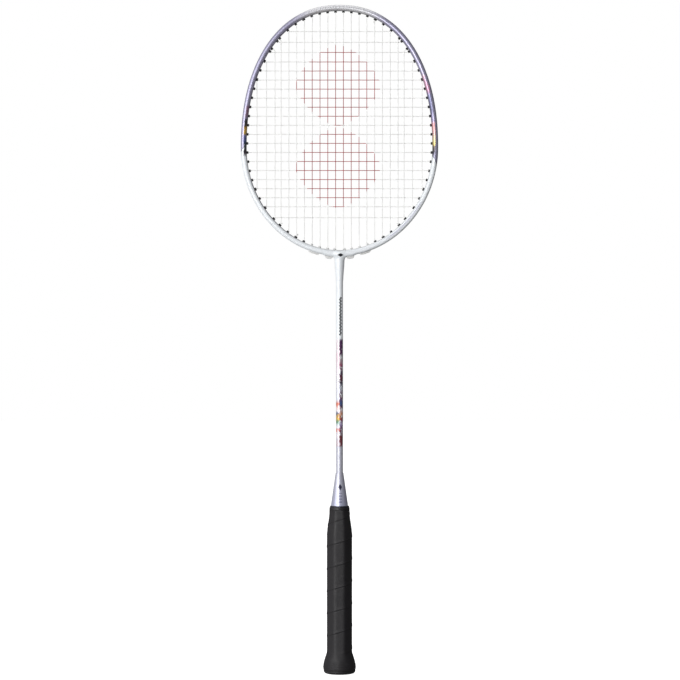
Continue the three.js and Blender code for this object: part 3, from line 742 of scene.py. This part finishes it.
def exit_angle(hole):
    if not hole.leans:
        return hole.angle
    return angle_at(FLANGE_TOP, 0, hole.point(1, FLANGE_TOP)[0], -math.pi / 2, 0)


def groove_bar(section, holes, side, round_ends):
    margin = 1.8 / HOOP_HALF_WIDTH
    turns = [exit_angle(hole) for hole in holes]
    share = np.linspace(-1, 1, 14 * len(holes))
    angles = (min(turns) + max(turns)) / 2 + share * ((max(turns) - min(turns)) / 2 + margin)
    swell = 0.2 + 0.8 * np.sqrt(1 - np.abs(share) ** 4) if round_ends else 1.0
    return bent_bar(section, angles if side > 0 else math.pi - angles[::-1], swell)


def grommet_strip(holes, side, channel_top=None):
    """Several barrels on a plate in the groove; the throat's also have two walls that stand proud."""
    half, base, top = FLANGE_HALF_WIDTH, FLANGE_BOTTOM, FLANGE_TOP
    section = [(base, -half), (top, -half), (top, half), (base, half)]
    if channel_top:
        wall = 0.95
        section = [
            (base, -half), (channel_top, -half), (channel_top, -wall), (top, -wall), (top, wall),
            (channel_top, wall), (channel_top, half), (base, half)]
    body = groove_bar(rounded(section, 0.2, closed=True, steps=3), holes, side, bool(channel_top))
    for hole in holes:
        barrel = rounded([
            (0, TIP_OFFSET), (hole.barrel, TIP_OFFSET), (hole.barrel, top - 0.1), (0, top - 0.1)], 0.16)
        body = combined(body, turned(barrel, 24, hole.placed(side)), "UNION", "EXACT")
    for hole in holes:
        body = combined(body, drill(hole, side, hole.bore), "DIFFERENCE", "EXACT")
    return body


# ---- strings ----

def groove_run(start, end, side, lane):
    """Points in the groove between two holes, in one lane."""
    turns = np.linspace(exit_angle(HOLES[start]), exit_angle(HOLES[end]), 4 * abs(end - start) + 1)[1:-1]
    line = hoop_points(turns, LANE_OFFSET, lane)
    return list(line * (side, 1, 1))


def inward(index, side, lane):
    return [HOLES[index].point(side, offset, lane) for offset in (LANE_OFFSET, MOUTH_OFFSET)]


def outward(index, side, lane):
    return inward(index, side, lane)[::-1]


def woven(start, end, axis, knots):
    """Points from start to end whose y swings through the knots, (place along axis, y), in order."""
    places = np.array([start[axis]] + [k[0] for k in knots] + [end[axis]])
    heights = np.array([start[1]] + [k[1] for k in knots] + [end[1]])
    if places[0] > places[-1]:
        backwards = woven(end, start, axis, knots)
        return backwards[::-1]
    order = np.argsort(places)
    places, heights = places[order], heights[order]
    points = []
    for i in range(len(places) - 1):
        steps = max(2, int(math.ceil((places[i + 1] - places[i]) / 1.15)))
        for t in np.arange(steps) / steps:
            point = np.array(start, float)
            point[axis] = places[i] + (places[i + 1] - places[i]) * t
            swing = (1 - math.cos(math.pi * t)) / 2
            point[1] = heights[i] + (heights[i + 1] - heights[i]) * swing
            points.append(point)
    points.append(np.array(end, float))
    return points


def over(column, number):
    """+1 where the main passes behind the cross, -1 where it passes in front of it."""
    return 1 if (column + number) % 2 else -1


def main_run(number, side, upward):
    column = number if side > 0 else 2 * MAINS_PER_SIDE + 1 - number
    low = HOLES[hole_index("main", number, False)].point(side, MOUTH_OFFSET, -STRING_LANE)
    high = HOLES[hole_index("main", number, True)].point(side, MOUTH_OFFSET, -STRING_LANE)
    knots = [
        (cross_z(n), WEAVE * over(column, n)) for n in range(CROSS_COUNT, 0, -1)
        if low[2] + 2 < cross_z(n) < high[2] - 2]
    return woven(low, high, 2, knots) if upward else woven(high, low, 2, knots)


def cross_run(number, side):
    hole = HOLES[hole_index("cross", number)]
    start, end = (hole.point(s, MOUTH_OFFSET, STRING_LANE) for s in (side, -side))
    knots = []
    for column in range(1, 2 * MAINS_PER_SIDE + 1):
        x = main_x(column) if column <= MAINS_PER_SIDE else -main_x(2 * MAINS_PER_SIDE + 1 - column)
        if abs(x) < abs(start[0]) - 2:
            knots.append((x, -WEAVE * over(column, number)))
    return woven(start, end, 0, sorted(knots))


def main_path():
    tie, first = hole_index("main", 4, False), hole_index("main", 1, False)
    knot_offset = MOUTH_OFFSET - MAIN_TAIL

    def tie_off(side):
        hole = HOLES[tie]
        return [hole.point(side, knot_offset, STRING_LANE), hole.point(side, LANE_OFFSET, STRING_LANE),
                *groove_run(tie, first, side, -TIE_OFF_LANE)]
    points = tie_off(1)
    lane = -STRING_LANE
    for index in range(MAINS_PER_SIDE * 2):
        side = 1 if index < MAINS_PER_SIDE else -1
        number = index + 1 if side > 0 else MAINS_PER_SIDE * 2 - index
        upward = index % 2 == 0
        start = hole_index("main", number, not upward)
        if index % MAINS_PER_SIDE > 0:
            points += groove_run(hole_index("main", number - side, not upward), start, side, lane)
        points.append(HOLES[start].point(side, LANE_OFFSET, lane))
        points += main_run(number, side, upward)
        points.append(HOLES[hole_index("main", number, upward)].point(side, LANE_OFFSET, lane))
    return points + tie_off(-1)[::-1]


def cross_path():
    start, end = hole_index("main", 7, True), hole_index("main", 6, False)
    tail_offset, tail_lane, lane = MOUTH_OFFSET - CROSS_TAIL, STRING_LANE + 0.1, STRING_LANE
    points = [HOLES[start].point(1, tail_offset, tail_lane), *outward(start, 1, lane)]
    points += groove_run(start, hole_index("cross", 1), 1, lane)
    for number in range(1, CROSS_COUNT + 1):
        index = hole_index("cross", number)
        side = 1 if number % 2 else -1
        points.append(HOLES[index].point(side, LANE_OFFSET, lane))
        points += cross_run(number, side)
        points.append(HOLES[index].point(-side, LANE_OFFSET, lane))
        if number < CROSS_COUNT:
            points += groove_run(index, hole_index("cross", number + 1), -side, lane)
    points += groove_run(hole_index("cross", CROSS_COUNT), end, -1, TIE_OFF_LANE)
    points += [*inward(end, -1, lane), HOLES[end].point(-1, tail_offset, tail_lane)]
    return points


def knot(middle):
    """A small tied knot round a string's end, with its cut tail."""
    turn = np.linspace(0, 2 * math.pi, 60)
    loop = np.stack([
        np.sin(turn) + 2 * np.sin(2 * turn), np.cos(turn) - 2 * np.cos(2 * turn), -1.2 * np.sin(3 * turn)],
        axis=-1) * KNOT_SIZE
    tail = loop[-1] + np.array([(0, 0, 0), (0.1, 0.4, 0.1), (0.2, 0.9, 0.1)])
    return merged(swept(loop[:-1] + middle, STRING_RADIUS, 8), swept(tail + middle, STRING_RADIUS, 8))


def string_shape(points, knots):
    rod = swept(rounded(points, 0.8, steps=3), STRING_RADIUS, 8)
    return merged(rod, *[knot(middle) for middle in knots])


# ---- handle ----

def octagon_radius(half_flats, turn, crispness):
    """Radius of a rounded octagon whose flats stay at half_flats; a low crispness is nearly round."""
    total = sum(np.abs(np.cos(turn - k * math.pi / 4)) ** crispness for k in range(4))
    level = 1 + 2 * math.cos(math.pi / 4) ** crispness
    return half_flats * (level / total) ** (1 / crispness)


def smoothed(rows, heights, reach=1.2):
    """The profile's half widths at these heights, with its corners softened over the reach."""
    places, widths = np.array(rows, float).T
    return np.mean([np.interp(heights + d, places, widths) for d in np.linspace(-reach, reach, 7)], axis=0)


def grip_shape():
    heights = np.concatenate([np.linspace(3.9, 24, 90), np.linspace(24.25, 165.3, 520)])
    turn = np.linspace(0, 2 * math.pi, 193)[:-1]
    z, phi = np.meshgrid(heights, turn, indexing="ij")
    half = smoothed(GRIP_PROFILE, heights)[:, None]
    crispness = 5 + 17 * np.clip((z - 12) / 12, 0, 1)
    radius = octagon_radius(half, phi, crispness)
    place = ((z - TAPE_START_Z) / TAPE_PITCH - phi / (2 * math.pi)) % 1.0
    wound = np.clip((z - 18) / 6, 0, 1) * np.clip((166.5 - z) / 5, 0, 1)
    lap = np.clip(1 - place / TAPE_OVERLAP, 0, 1) ** 1.5 * np.clip(place / 0.03, 0, 1)
    dip = np.exp(-((place - 0.98) / 0.016) ** 2)
    radius = radius + wound * (TAPE_STEP * lap - 0.1 * dip)
    rings = 0.12 * np.cos(2 * math.pi * z / 1.7) * np.clip((15 - z) / 3, 0, 1) * np.clip((z - 4.4), 0, 1)
    radius = radius + rings
    outside = np.stack([radius * np.cos(phi), radius * np.sin(phi), z], axis=-1).reshape(-1, 3)
    inner = []
    for height, half_core in reversed(CORE_PROFILE):
        level = min(max(height, 4.1), 165.0)
        if height == CORE_PROFILE[0][0]:
            level = 3.9
        if height == CORE_PROFILE[-1][0]:
            level = 165.3
        core = octagon_radius(half_core + FIT_GAP, turn, 40)
        ring = [core * np.cos(turn), core * np.sin(turn), np.full_like(turn, level)]
        inner.append(np.stack(ring, axis=-1))
    points = np.concatenate([outside, np.concatenate(inner)])
    return points, grid_faces(len(heights) + len(inner), len(turn), close_rows=True)


# ---- finishes ----

WHITE_PEARL = srgb(236, 240, 244)
LILAC_PEARL = srgb(172, 169, 194)
SILVER_WHITE = srgb(228, 228, 232)
PRINT_RANGE = (226, 340)          # heights of the shaft between which its print changes colour


def shades(*stops):
    """Ramp stops from (place, red, green, blue) in display values."""
    return [(place, srgb(*colour)) for place, *colour in stops]


def grey(level):
    return (level, level, level, 1)


def pearl_flakes(finish, colour, share=0.04):
    """Fine flakes that lighten and darken a pearl paint a little."""
    flakes = finish.cells(9.0, output="Color")
    tone = finish.node("ShaderNodeSeparateColor", {0: flakes}).outputs[0]
    dark = finish.node("ShaderNodeHueSaturation", {"Color": colour, "Value": 1 - share}).outputs[0]
    light = finish.node("ShaderNodeHueSaturation", {"Color": colour, "Value": 1 + share / 2}).outputs[0]
    return finish.mix(tone, dark, light)


def painted_offset(f, far):
    """Distance outwards from the hoop's centre line, as nodes."""
    above = f.math("GREATER_THAN", f.z, HOOP_WIDEST_Z)
    power = f.math("MULTIPLY_ADD", above, HOOP_TOP_POWER - HOOP_BOTTOM_POWER, HOOP_BOTTOM_POWER)
    reach = f.math("MULTIPLY_ADD", above, HOOP_TOP_HEIGHT - HOOP_BOTTOM_HEIGHT, HOOP_BOTTOM_HEIGHT)
    wide = f.math("POWER", f.math("DIVIDE", far, HOOP_HALF_WIDTH), power)
    tall = f.math("POWER", f.math("DIVIDE", f.apart(f.z, HOOP_WIDEST_Z), reach), power)
    level = f.math("POWER", f.plus(wide, tall), f.math("DIVIDE", 1.0, power))
    return f.times(f.math("SUBTRACT", level, 1.0), HOOP_HALF_WIDTH)


def flank_marks(f, offset, far, colour):
    """Brush marks: a colour along the height for each side, in a ragged band of the tube's width."""
    height = f.shaken(f.z, f.noise(0.22, 3.0), 5.0)
    left = f.ramp(height, 520, 580, shades(
        (520, 58, 48, 58), (526, 58, 48, 58), (534, 62, 76, 76), (539, 88, 96, 150), (543, 126, 128, 176),
        (545.5, 214, 176, 84), (551, 206, 164, 76), (553, 84, 76, 72), (558, 56, 56, 64),
        (560, 146, 140, 166), (567, 156, 116, 136), (574, 160, 130, 154)))
    right = f.ramp(height, 520, 610, shades(
        (522, 74, 72, 84), (526, 74, 72, 84), (532, 110, 100, 92), (534, 218, 194, 120),
        (539, 214, 198, 148), (544, 204, 168, 166), (554, 222, 160, 162), (558, 164, 156, 190),
        (568, 118, 118, 148), (584, 138, 138, 172), (590, 198, 152, 176), (604, 204, 170, 190)))
    marks = f.mix(f.step(f.x, -1, 1), left, right)
    stroke = f.noise(1.0, 4.0, where=f.stretched(0.5, 0.5, 0.16))
    edge = f.shaken(offset, stroke, 7.0)
    ink = f.times(f.step(edge, 0.4, -0.2), f.step(far, 80, 84), f.window(f.z, 523, 604, 3))
    left_span = f.math("MAXIMUM", f.step(f.x, -1, 1), f.step(f.z, 576, 570))
    return f.mix(f.times(ink, left_span), colour, marks)


def flank_lines(f, offset, colour):
    """Thin lines along the lower flanks: a dark one inside on the left, painted shade along the inner edge,
    and a lilac one on the right.
    """
    # Painted shade: a grey-violet line along the inner edge of the left lower flank.
    dark = f.times(f.window(offset, -2.95, -2.2, 0.15), f.window(f.z, 438, 498, 2), f.step(f.x, 0, -1))
    colour = f.mix(f.times(dark, 0.8), colour, srgb(96, 94, 112))
    lilac = f.times(f.window(offset, -0.9, 0.1, 0.2), f.window(f.z, 440, 476, 2), f.step(f.x, 0, 1))
    return f.mix(f.times(lilac, 0.7), colour, srgb(176, 174, 200))


def hoop_paint():
    """White pearl below, lilac pearl above, silver at the tip, and loose brush marks at both flanks."""
    f = Finish("pearl_paint", Roughness=0.3, Specular_IOR_Level=0.35, Coat_Weight=0.15, Coat_Roughness=0.1)
    far = f.math("ABSOLUTE", f.x)
    offset = painted_offset(f, far)

    # the change of colour slants across the tube and sits lower on the right
    zone = f.plus(f.z, f.plus(f.times(offset, 1.6), f.times(f.x, 0.065)))
    f.feed("Metallic", f.math("MULTIPLY_ADD", f.step(zone, 515, 530), 0.55, 0.03))
    colour = f.mix(f.step(zone, 524.6, 525.4), WHITE_PEARL, LILAC_PEARL)
    silver = f.mix(f.step(f.z, 600, 610), colour, SILVER_WHITE)
    colour = pearl_flakes(f, f.mix(f.step(far, 52.0, 22.0), colour, silver))
    colour = f.mix(f.window(zone, 524.4, 525.2, 0.25), colour, srgb(70, 68, 80))
    colour = flank_marks(f, offset, far, colour)
    colour = flank_lines(f, offset, colour)
    lozenge = f.lozenge(1.0, 422.6, 3.3, 1.8)
    f.feed("Base Color", f.mix(f.step(lozenge, 1.05, 0.95), colour, srgb(26, 26, 34)))
    f.feed("Roughness", f.ramp(f.noise(0.9, 4.0), 0, 1, [(0, grey(0.2)), (1, grey(0.36))]))
    f.grain(1.3, 3.0, 0.02, 0.35)
    return f


def shaft_paint():
    """White pearl at the top, lilac at the bottom, with an abstract painted length between them."""
    f = Finish("shaft_pearl", Roughness=0.28, Specular_IOR_Level=0.4, Coat_Weight=0.2, Coat_Roughness=0.08)
    f.feed("Metallic", f.math("MULTIPLY_ADD", f.step(f.z, 345, 325), 0.25, 0.03))
    base = f.mix(f.step(f.z, 262, 236), WHITE_PEARL, srgb(196, 197, 210))
    base = pearl_flakes(f, base, 0.03)
    height = f.shaken(f.z, f.noise(0.42, 3.0), 6.0)
    right = f.ramp(height, *PRINT_RANGE, shades(
        (228, 132, 76, 88), (240, 120, 60, 66), (247, 110, 52, 84), (252, 178, 162, 206),
        (256, 150, 78, 104), (261, 222, 134, 58), (266, 232, 214, 220), (269, 96, 62, 92),
        (273, 78, 104, 156), (279, 126, 66, 92), (288, 190, 194, 210), (293, 78, 76, 92),
        (299, 120, 56, 72), (304, 86, 84, 108), (311, 166, 88, 118), (319, 196, 196, 200),
        (323, 92, 54, 92), (337, 88, 56, 96)))
    # The print in two copies, one for each side. The left copy keeps a few of the print's colours, but most
    # of its stops are near white: a painted highlight that washes out the print on the left side.
    left = f.ramp(height, *PRINT_RANGE, shades(
        (232, 206, 190, 198), (243, 232, 228, 236), (246, 222, 106, 76), (249, 236, 234, 246),
        (254, 96, 150, 120), (258, 226, 176, 60), (263, 70, 96, 132), (266, 250, 238, 242),
        (272, 214, 110, 82), (277, 222, 226, 240), (300, 240, 236, 244), (322, 236, 212, 222),
        (336, 240, 232, 238)))
    # Painted highlight: left of this shaken line the print takes its pale left copy, right of it the print's
    # own colours.
    highlight_split_x = f.shaken(f.x, f.noise(0.3, 2.0), 6.0)
    tone = f.mix(f.step(highlight_split_x, -0.6, 0.5), left, right)
    blots = f.noise(1.0, 3.0, where=f.stretched(0.5, 0.5, 0.24))
    ink = f.times(f.step(blots, 0.36, 0.44), f.window(f.z, 229.5, 337.5, 1.2))
    colour = f.mix(ink, base, tone)

    # a plain zigzag line above the painted length
    swing = f.math("PINGPONG", f.z, 1.6)
    line = f.apart(f.x, f.plus(swing, 0.1))
    facing = f.step(f.math("ABSOLUTE", f.y), 1.2, 1.6)
    zigzag = f.times(f.step(line, 0.95, 0.7), f.window(f.z, 341.5, 380.0, 0.3))
    f.feed("Base Color", f.mix(f.times(zigzag, facing), colour, srgb(40, 44, 48)))
    f.grain(1.6, 3.0, 0.015, 0.3)
    return f


def cone_paint():
    """Lilac pearl with a small lozenge and short bars under it, on the front and the back."""
    f = Finish("cone_pearl", Metallic=0.45, Roughness=0.28, Coat_Weight=0.8, Coat_Roughness=0.06)
    colour = pearl_flakes(f, f.mix(f.step(f.z, 160, 203), srgb(184, 186, 212), srgb(198, 199, 214)), 0.06)
    front = f.step(f.math("ABSOLUTE", f.y), 2.0, 2.4)
    mark = f.step(f.lozenge(0.6, 188.4, 2.0, 3.4), 1.04, 0.96)
    rows = f.step(f.math("PINGPONG", f.math("SUBTRACT", f.z, 172), 1.5), 0.95, 1.1)
    bars = f.times(rows, f.window(f.z, 172.2, 182.6, 0.15), f.window(f.x, -1.4, 2.6, 0.12))
    colour = f.mix(f.times(mark, front), colour, srgb(30, 28, 62))
    f.feed("Base Color", f.mix(f.times(bars, front, 0.75), colour, srgb(74, 74, 118)))
    f.grain(1.1, 3.0, 0.02, 0.3)
    return f


def grip_tape():
    """Charcoal polyurethane tape: fine grain, faint creases with painted shade along the seams of the wrap,
    and a worn sheen.
    """
    f = Finish("grip_tape", Roughness=0.5, Specular_IOR_Level=0.4)
    turns = f.math("DIVIDE", f.math("ARCTAN2", f.y, f.x), 2 * math.pi)
    climb = f.math("DIVIDE", f.math("SUBTRACT", f.z, TAPE_START_Z), TAPE_PITCH)
    place = f.math("FRACT", f.math("SUBTRACT", climb, turns))
    # Painted shade: a dark line along the seam, where each turn of tape steps over the last.
    seam_shade = f.times(f.window(place, 0.97, 1.2, 0.02), f.step(f.z, 18, 24))
    colour = f.mottled(0.08, 4.0, srgb(22, 20, 23), srgb(29, 27, 30))
    colour = f.mix(f.step(f.noise(3.2, 2.0), 0.45, 0.7), colour, srgb(34, 32, 35))
    f.feed("Base Color", f.mix(f.times(seam_shade, 0.5), colour, srgb(12, 12, 14)))
    f.feed("Roughness", f.mottled(0.3, 3.0, grey(0.42), grey(0.58)))
    grain = f.bump(f.cells(2.4), 0.06, 0.5)
    f.feed("Normal", f.bump(f.noise(0.5, 3.0), 0.18, 0.4, below=grain))
    return f


def band_rubber():
    """Black rubber with fine rings and a dark bluish top edge, partly its own colour and partly painted
    shade.
    """
    f = Finish("band_rubber", Roughness=0.45, Specular_IOR_Level=0.5)
    colour = f.mottled(0.6, 3.0, srgb(22, 20, 23), srgb(30, 28, 31))
    # The top edge darkens to near-black navy: partly the band's own colour, partly painted shade at the
    # edge.
    f.feed("Base Color", f.mix(f.step(f.z, 167.4, 168.0), colour, srgb(14, 15, 26)))
    rings = f.math("SINE", f.times(f.z, 2 * math.pi / 1.2))
    f.feed("Normal", f.bump(rings, 0.03, 0.4, below=f.bump(f.noise(3.0, 2.0), 0.02, 0.4)))
    return f


def butt_plastic():
    f = Finish("butt_plastic", Roughness=0.42, Specular_IOR_Level=0.5)
    f.feed("Base Color", f.mottled(0.5, 3.0, srgb(20, 19, 21), srgb(29, 28, 30)))
    f.grain(4.0, 2.0, 0.03, 0.5)
    return f


def grommet_plastic():
    f = Finish("grommet_black", Roughness=0.4, Specular_IOR_Level=0.45)
    f.feed("Base Color", f.mottled(0.8, 2.0, srgb(8, 8, 10), srgb(18, 18, 22)))
    f.grain(5.0, 2.0, 0.02, 0.4)
    return f


def clear_plastic():
    """Milky translucent nylon."""
    f = Finish("grommet_clear", Roughness=0.28, Transmission_Weight=0.15, IOR=1.5, Specular_IOR_Level=0.4)
    f.feed("Base Color", f.mottled(0.5, 2.0, srgb(216, 216, 214), srgb(234, 234, 233)))
    f.grain(3.0, 2.0, 0.02, 0.3)
    return f


def string_nylon():
    """White twisted multifilament with red stencil ink on two plain cushion shapes of the string bed."""
    f = Finish("string_nylon", Roughness=0.34, Specular_IOR_Level=0.5, Coat_Weight=0.3, Coat_Roughness=0.15)
    body = f.mottled(1.2, 2.0, srgb(236, 236, 233), srgb(248, 248, 246))
    fullness = 1.5                # 1 is a lozenge, 2 an oval
    far = f.math("POWER", f.math("DIVIDE", f.apart(f.x, -1.5), 43.0), fullness)
    ragged = f.noise(0.5, 2.0)
    inks = []
    for middle in (594.0, 511.0):
        rise = f.math("POWER", f.math("DIVIDE", f.apart(f.z, middle), 41.0), fullness)
        inks.append(f.step(f.shaken(f.plus(far, rise), ragged, 0.05), 1.02, 0.98))
    ink = f.math("MAXIMUM", *inks)
    worn = f.mottled(0.9, 3.0, srgb(152, 8, 18), srgb(180, 26, 36))
    f.feed("Base Color", f.mix(ink, body, worn))
    twist = f.math("SINE", f.times(f.plus(f.x, f.z, f.times(f.y, 2.0)), 9.0))
    f.feed("Normal", f.bump(twist, 0.02, 0.35))
    return f


def joint_resin():
    """Dark moulded resin with flecks that lie along the shaft."""
    f = Finish("joint_resin", Roughness=0.5, Specular_IOR_Level=0.45)
    flecks = f.cells(1.6, where=f.stretched(1.0, 1.0, 0.3))
    tones = shades((0, 72, 72, 76), (0.3, 46, 46, 50), (0.8, 36, 36, 40))
    f.feed("Base Color", f.ramp(flecks, 0, 0.8, tones))
    f.feed("Normal", f.bump(flecks, 0.08, 0.5))
    return f


def handle_wood():
    """Straight-grained pale wood; the grain runs along the handle."""
    f = Finish("handle_wood", Roughness=0.62, Specular_IOR_Level=0.35)
    grain = f.noise(1.0, 5.0, where=f.stretched(0.9, 0.35, 0.02), roughness=0.6)
    fibres = f.noise(1.0, 3.0, where=f.stretched(4.0, 4.0, 0.08))
    colour = f.ramp(grain, 0.3, 0.7, shades((0.3, 166, 128, 84), (0.5, 204, 170, 122), (0.7, 222, 192, 148)))
    f.feed("Base Color", f.mix(f.step(fibres, 0.4, 0.75), colour, srgb(152, 116, 76)))
    f.feed("Normal", f.bump(fibres, 0.08, 0.5))
    return f


def tack_steel():
    f = Finish("tack_steel", Metallic=1.0, Roughness=0.3)
    brushed = f.noise(1.0, 4.0, where=f.stretched(0.6, 6.0, 6.0))
    f.feed("Base Color", f.ramp(brushed, 0.3, 0.7, shades((0.3, 120, 122, 126), (0.7, 176, 178, 182))))
    f.feed("Normal", f.bump(brushed, 0.02, 0.4))
    return f


# ---- pieces ----

def make_head():
    new_piece("head_frame_painted", head_shape(), hoop_paint(), "frame_paint", "head_frame", sharp=40)


def make_grommets():
    black, clear = grommet_plastic(), clear_plastic()
    shoulder = HOLES[hole_index("main", 5, True):hole_index("cross", 3) + 1]
    flank = HOLES[hole_index("cross", 7):hole_index("cross", 17) + 1]
    outer, inner = ([HOLES[hole_index("main", n, False)] for n in pair] for pair in ((8, 9), (10, 11)))
    grouped = [*shoulder, *flank, *outer, *inner]
    for side, side_name in SIDES:
        for node, holes in (("grommet_strip_shoulder", shoulder), ("grommet_strip_flank", flank)):
            new_piece(f"{node}_{side_name}_moulded", grommet_strip(holes, side), black, "grommet",
                      f"{node}_{side_name}")
        for place, holes in (("outer", outer), ("inner", inner)):
            node = f"throat_grommet_{place}_{side_name}"
            strip = grommet_strip(holes, side, CHANNEL_TOPS[place])
            new_piece(f"{node}_moulded", strip, clear, "clear_grommet", node)
        for hole in HOLES:
            if hole in grouped:
                continue
            strings = [f"main_{hole.main}"] * bool(hole.main) + [f"cross_{hole.cross}"] * bool(hole.cross)
            node = "_".join(["grommet", "upper" if hole.top else "lower", *strings, side_name])
            ring = turned(grommet_profile(hole.bore, hole.barrel), 24, hole.placed(side))
            new_piece(f"{node}_moulded", ring, black, "grommet", node)


def make_strings():
    nylon = string_nylon()
    tie = HOLES[hole_index("main", 4, False)]
    knots = [tie.point(side, MOUTH_OFFSET - MAIN_TAIL) for side, _ in SIDES]
    bed = string_shape(main_path(), knots)
    new_piece("main_string_woven", bed, nylon, "string", "main_string", sharp=80)
    ends = ((HOLES[hole_index("main", 7, True)], 1), (HOLES[hole_index("main", 6, False)], -1))
    knots = [hole.point(side, MOUTH_OFFSET - (CROSS_TAIL + 0.2), STRING_LANE + 0.6) for hole, side in ends]
    bed = string_shape(cross_path(), knots)
    new_piece("cross_string_woven", bed, nylon, "string", "cross_string", sharp=80)


def make_shaft_and_handle():
    tube = [(SHAFT_BORE_RADIUS, SHAFT_BOTTOM_Z), (SHAFT_RADIUS, SHAFT_BOTTOM_Z),
            (SHAFT_RADIUS, SHAFT_TOP_Z), (SHAFT_BORE_RADIUS, SHAFT_TOP_Z)]
    new_piece("shaft_painted", turned(tube, 72), shaft_paint(), "shaft_paint", "shaft")
    cone = rounded(CONE_PROFILE, 0.35, closed=True)
    new_piece("cone_cap_painted", turned(cone, 96), cone_paint(), "cone_paint", "cone_cap", sharp=30)
    new_piece("grip_wrap_wound", grip_shape(), grip_tape(), "grip", "grip_wrap", sharp=60)
    band = rounded(BAND_PROFILE, 0.5, closed=True, steps=6)
    new_piece("grip_band_moulded", turned(band, 96), band_rubber(), "band_rubber", "grip_band")
    butt = rounded(BUTT_PROFILE, 0.5)
    new_piece("butt_cap_moulded", turned(butt, 96), butt_plastic(), "butt_plastic", "butt_cap")


def finish_inner_nodes():
    for node, finish in (
            ("throat_joint", joint_resin()), ("handle_core", handle_wood()), ("grip_tack", tack_steel())):
        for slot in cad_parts[node].material_slots:
            slot.material = finish.material


make_head()
make_grommets()
make_strings()
make_shaft_and_handle()
finish_inner_nodes()
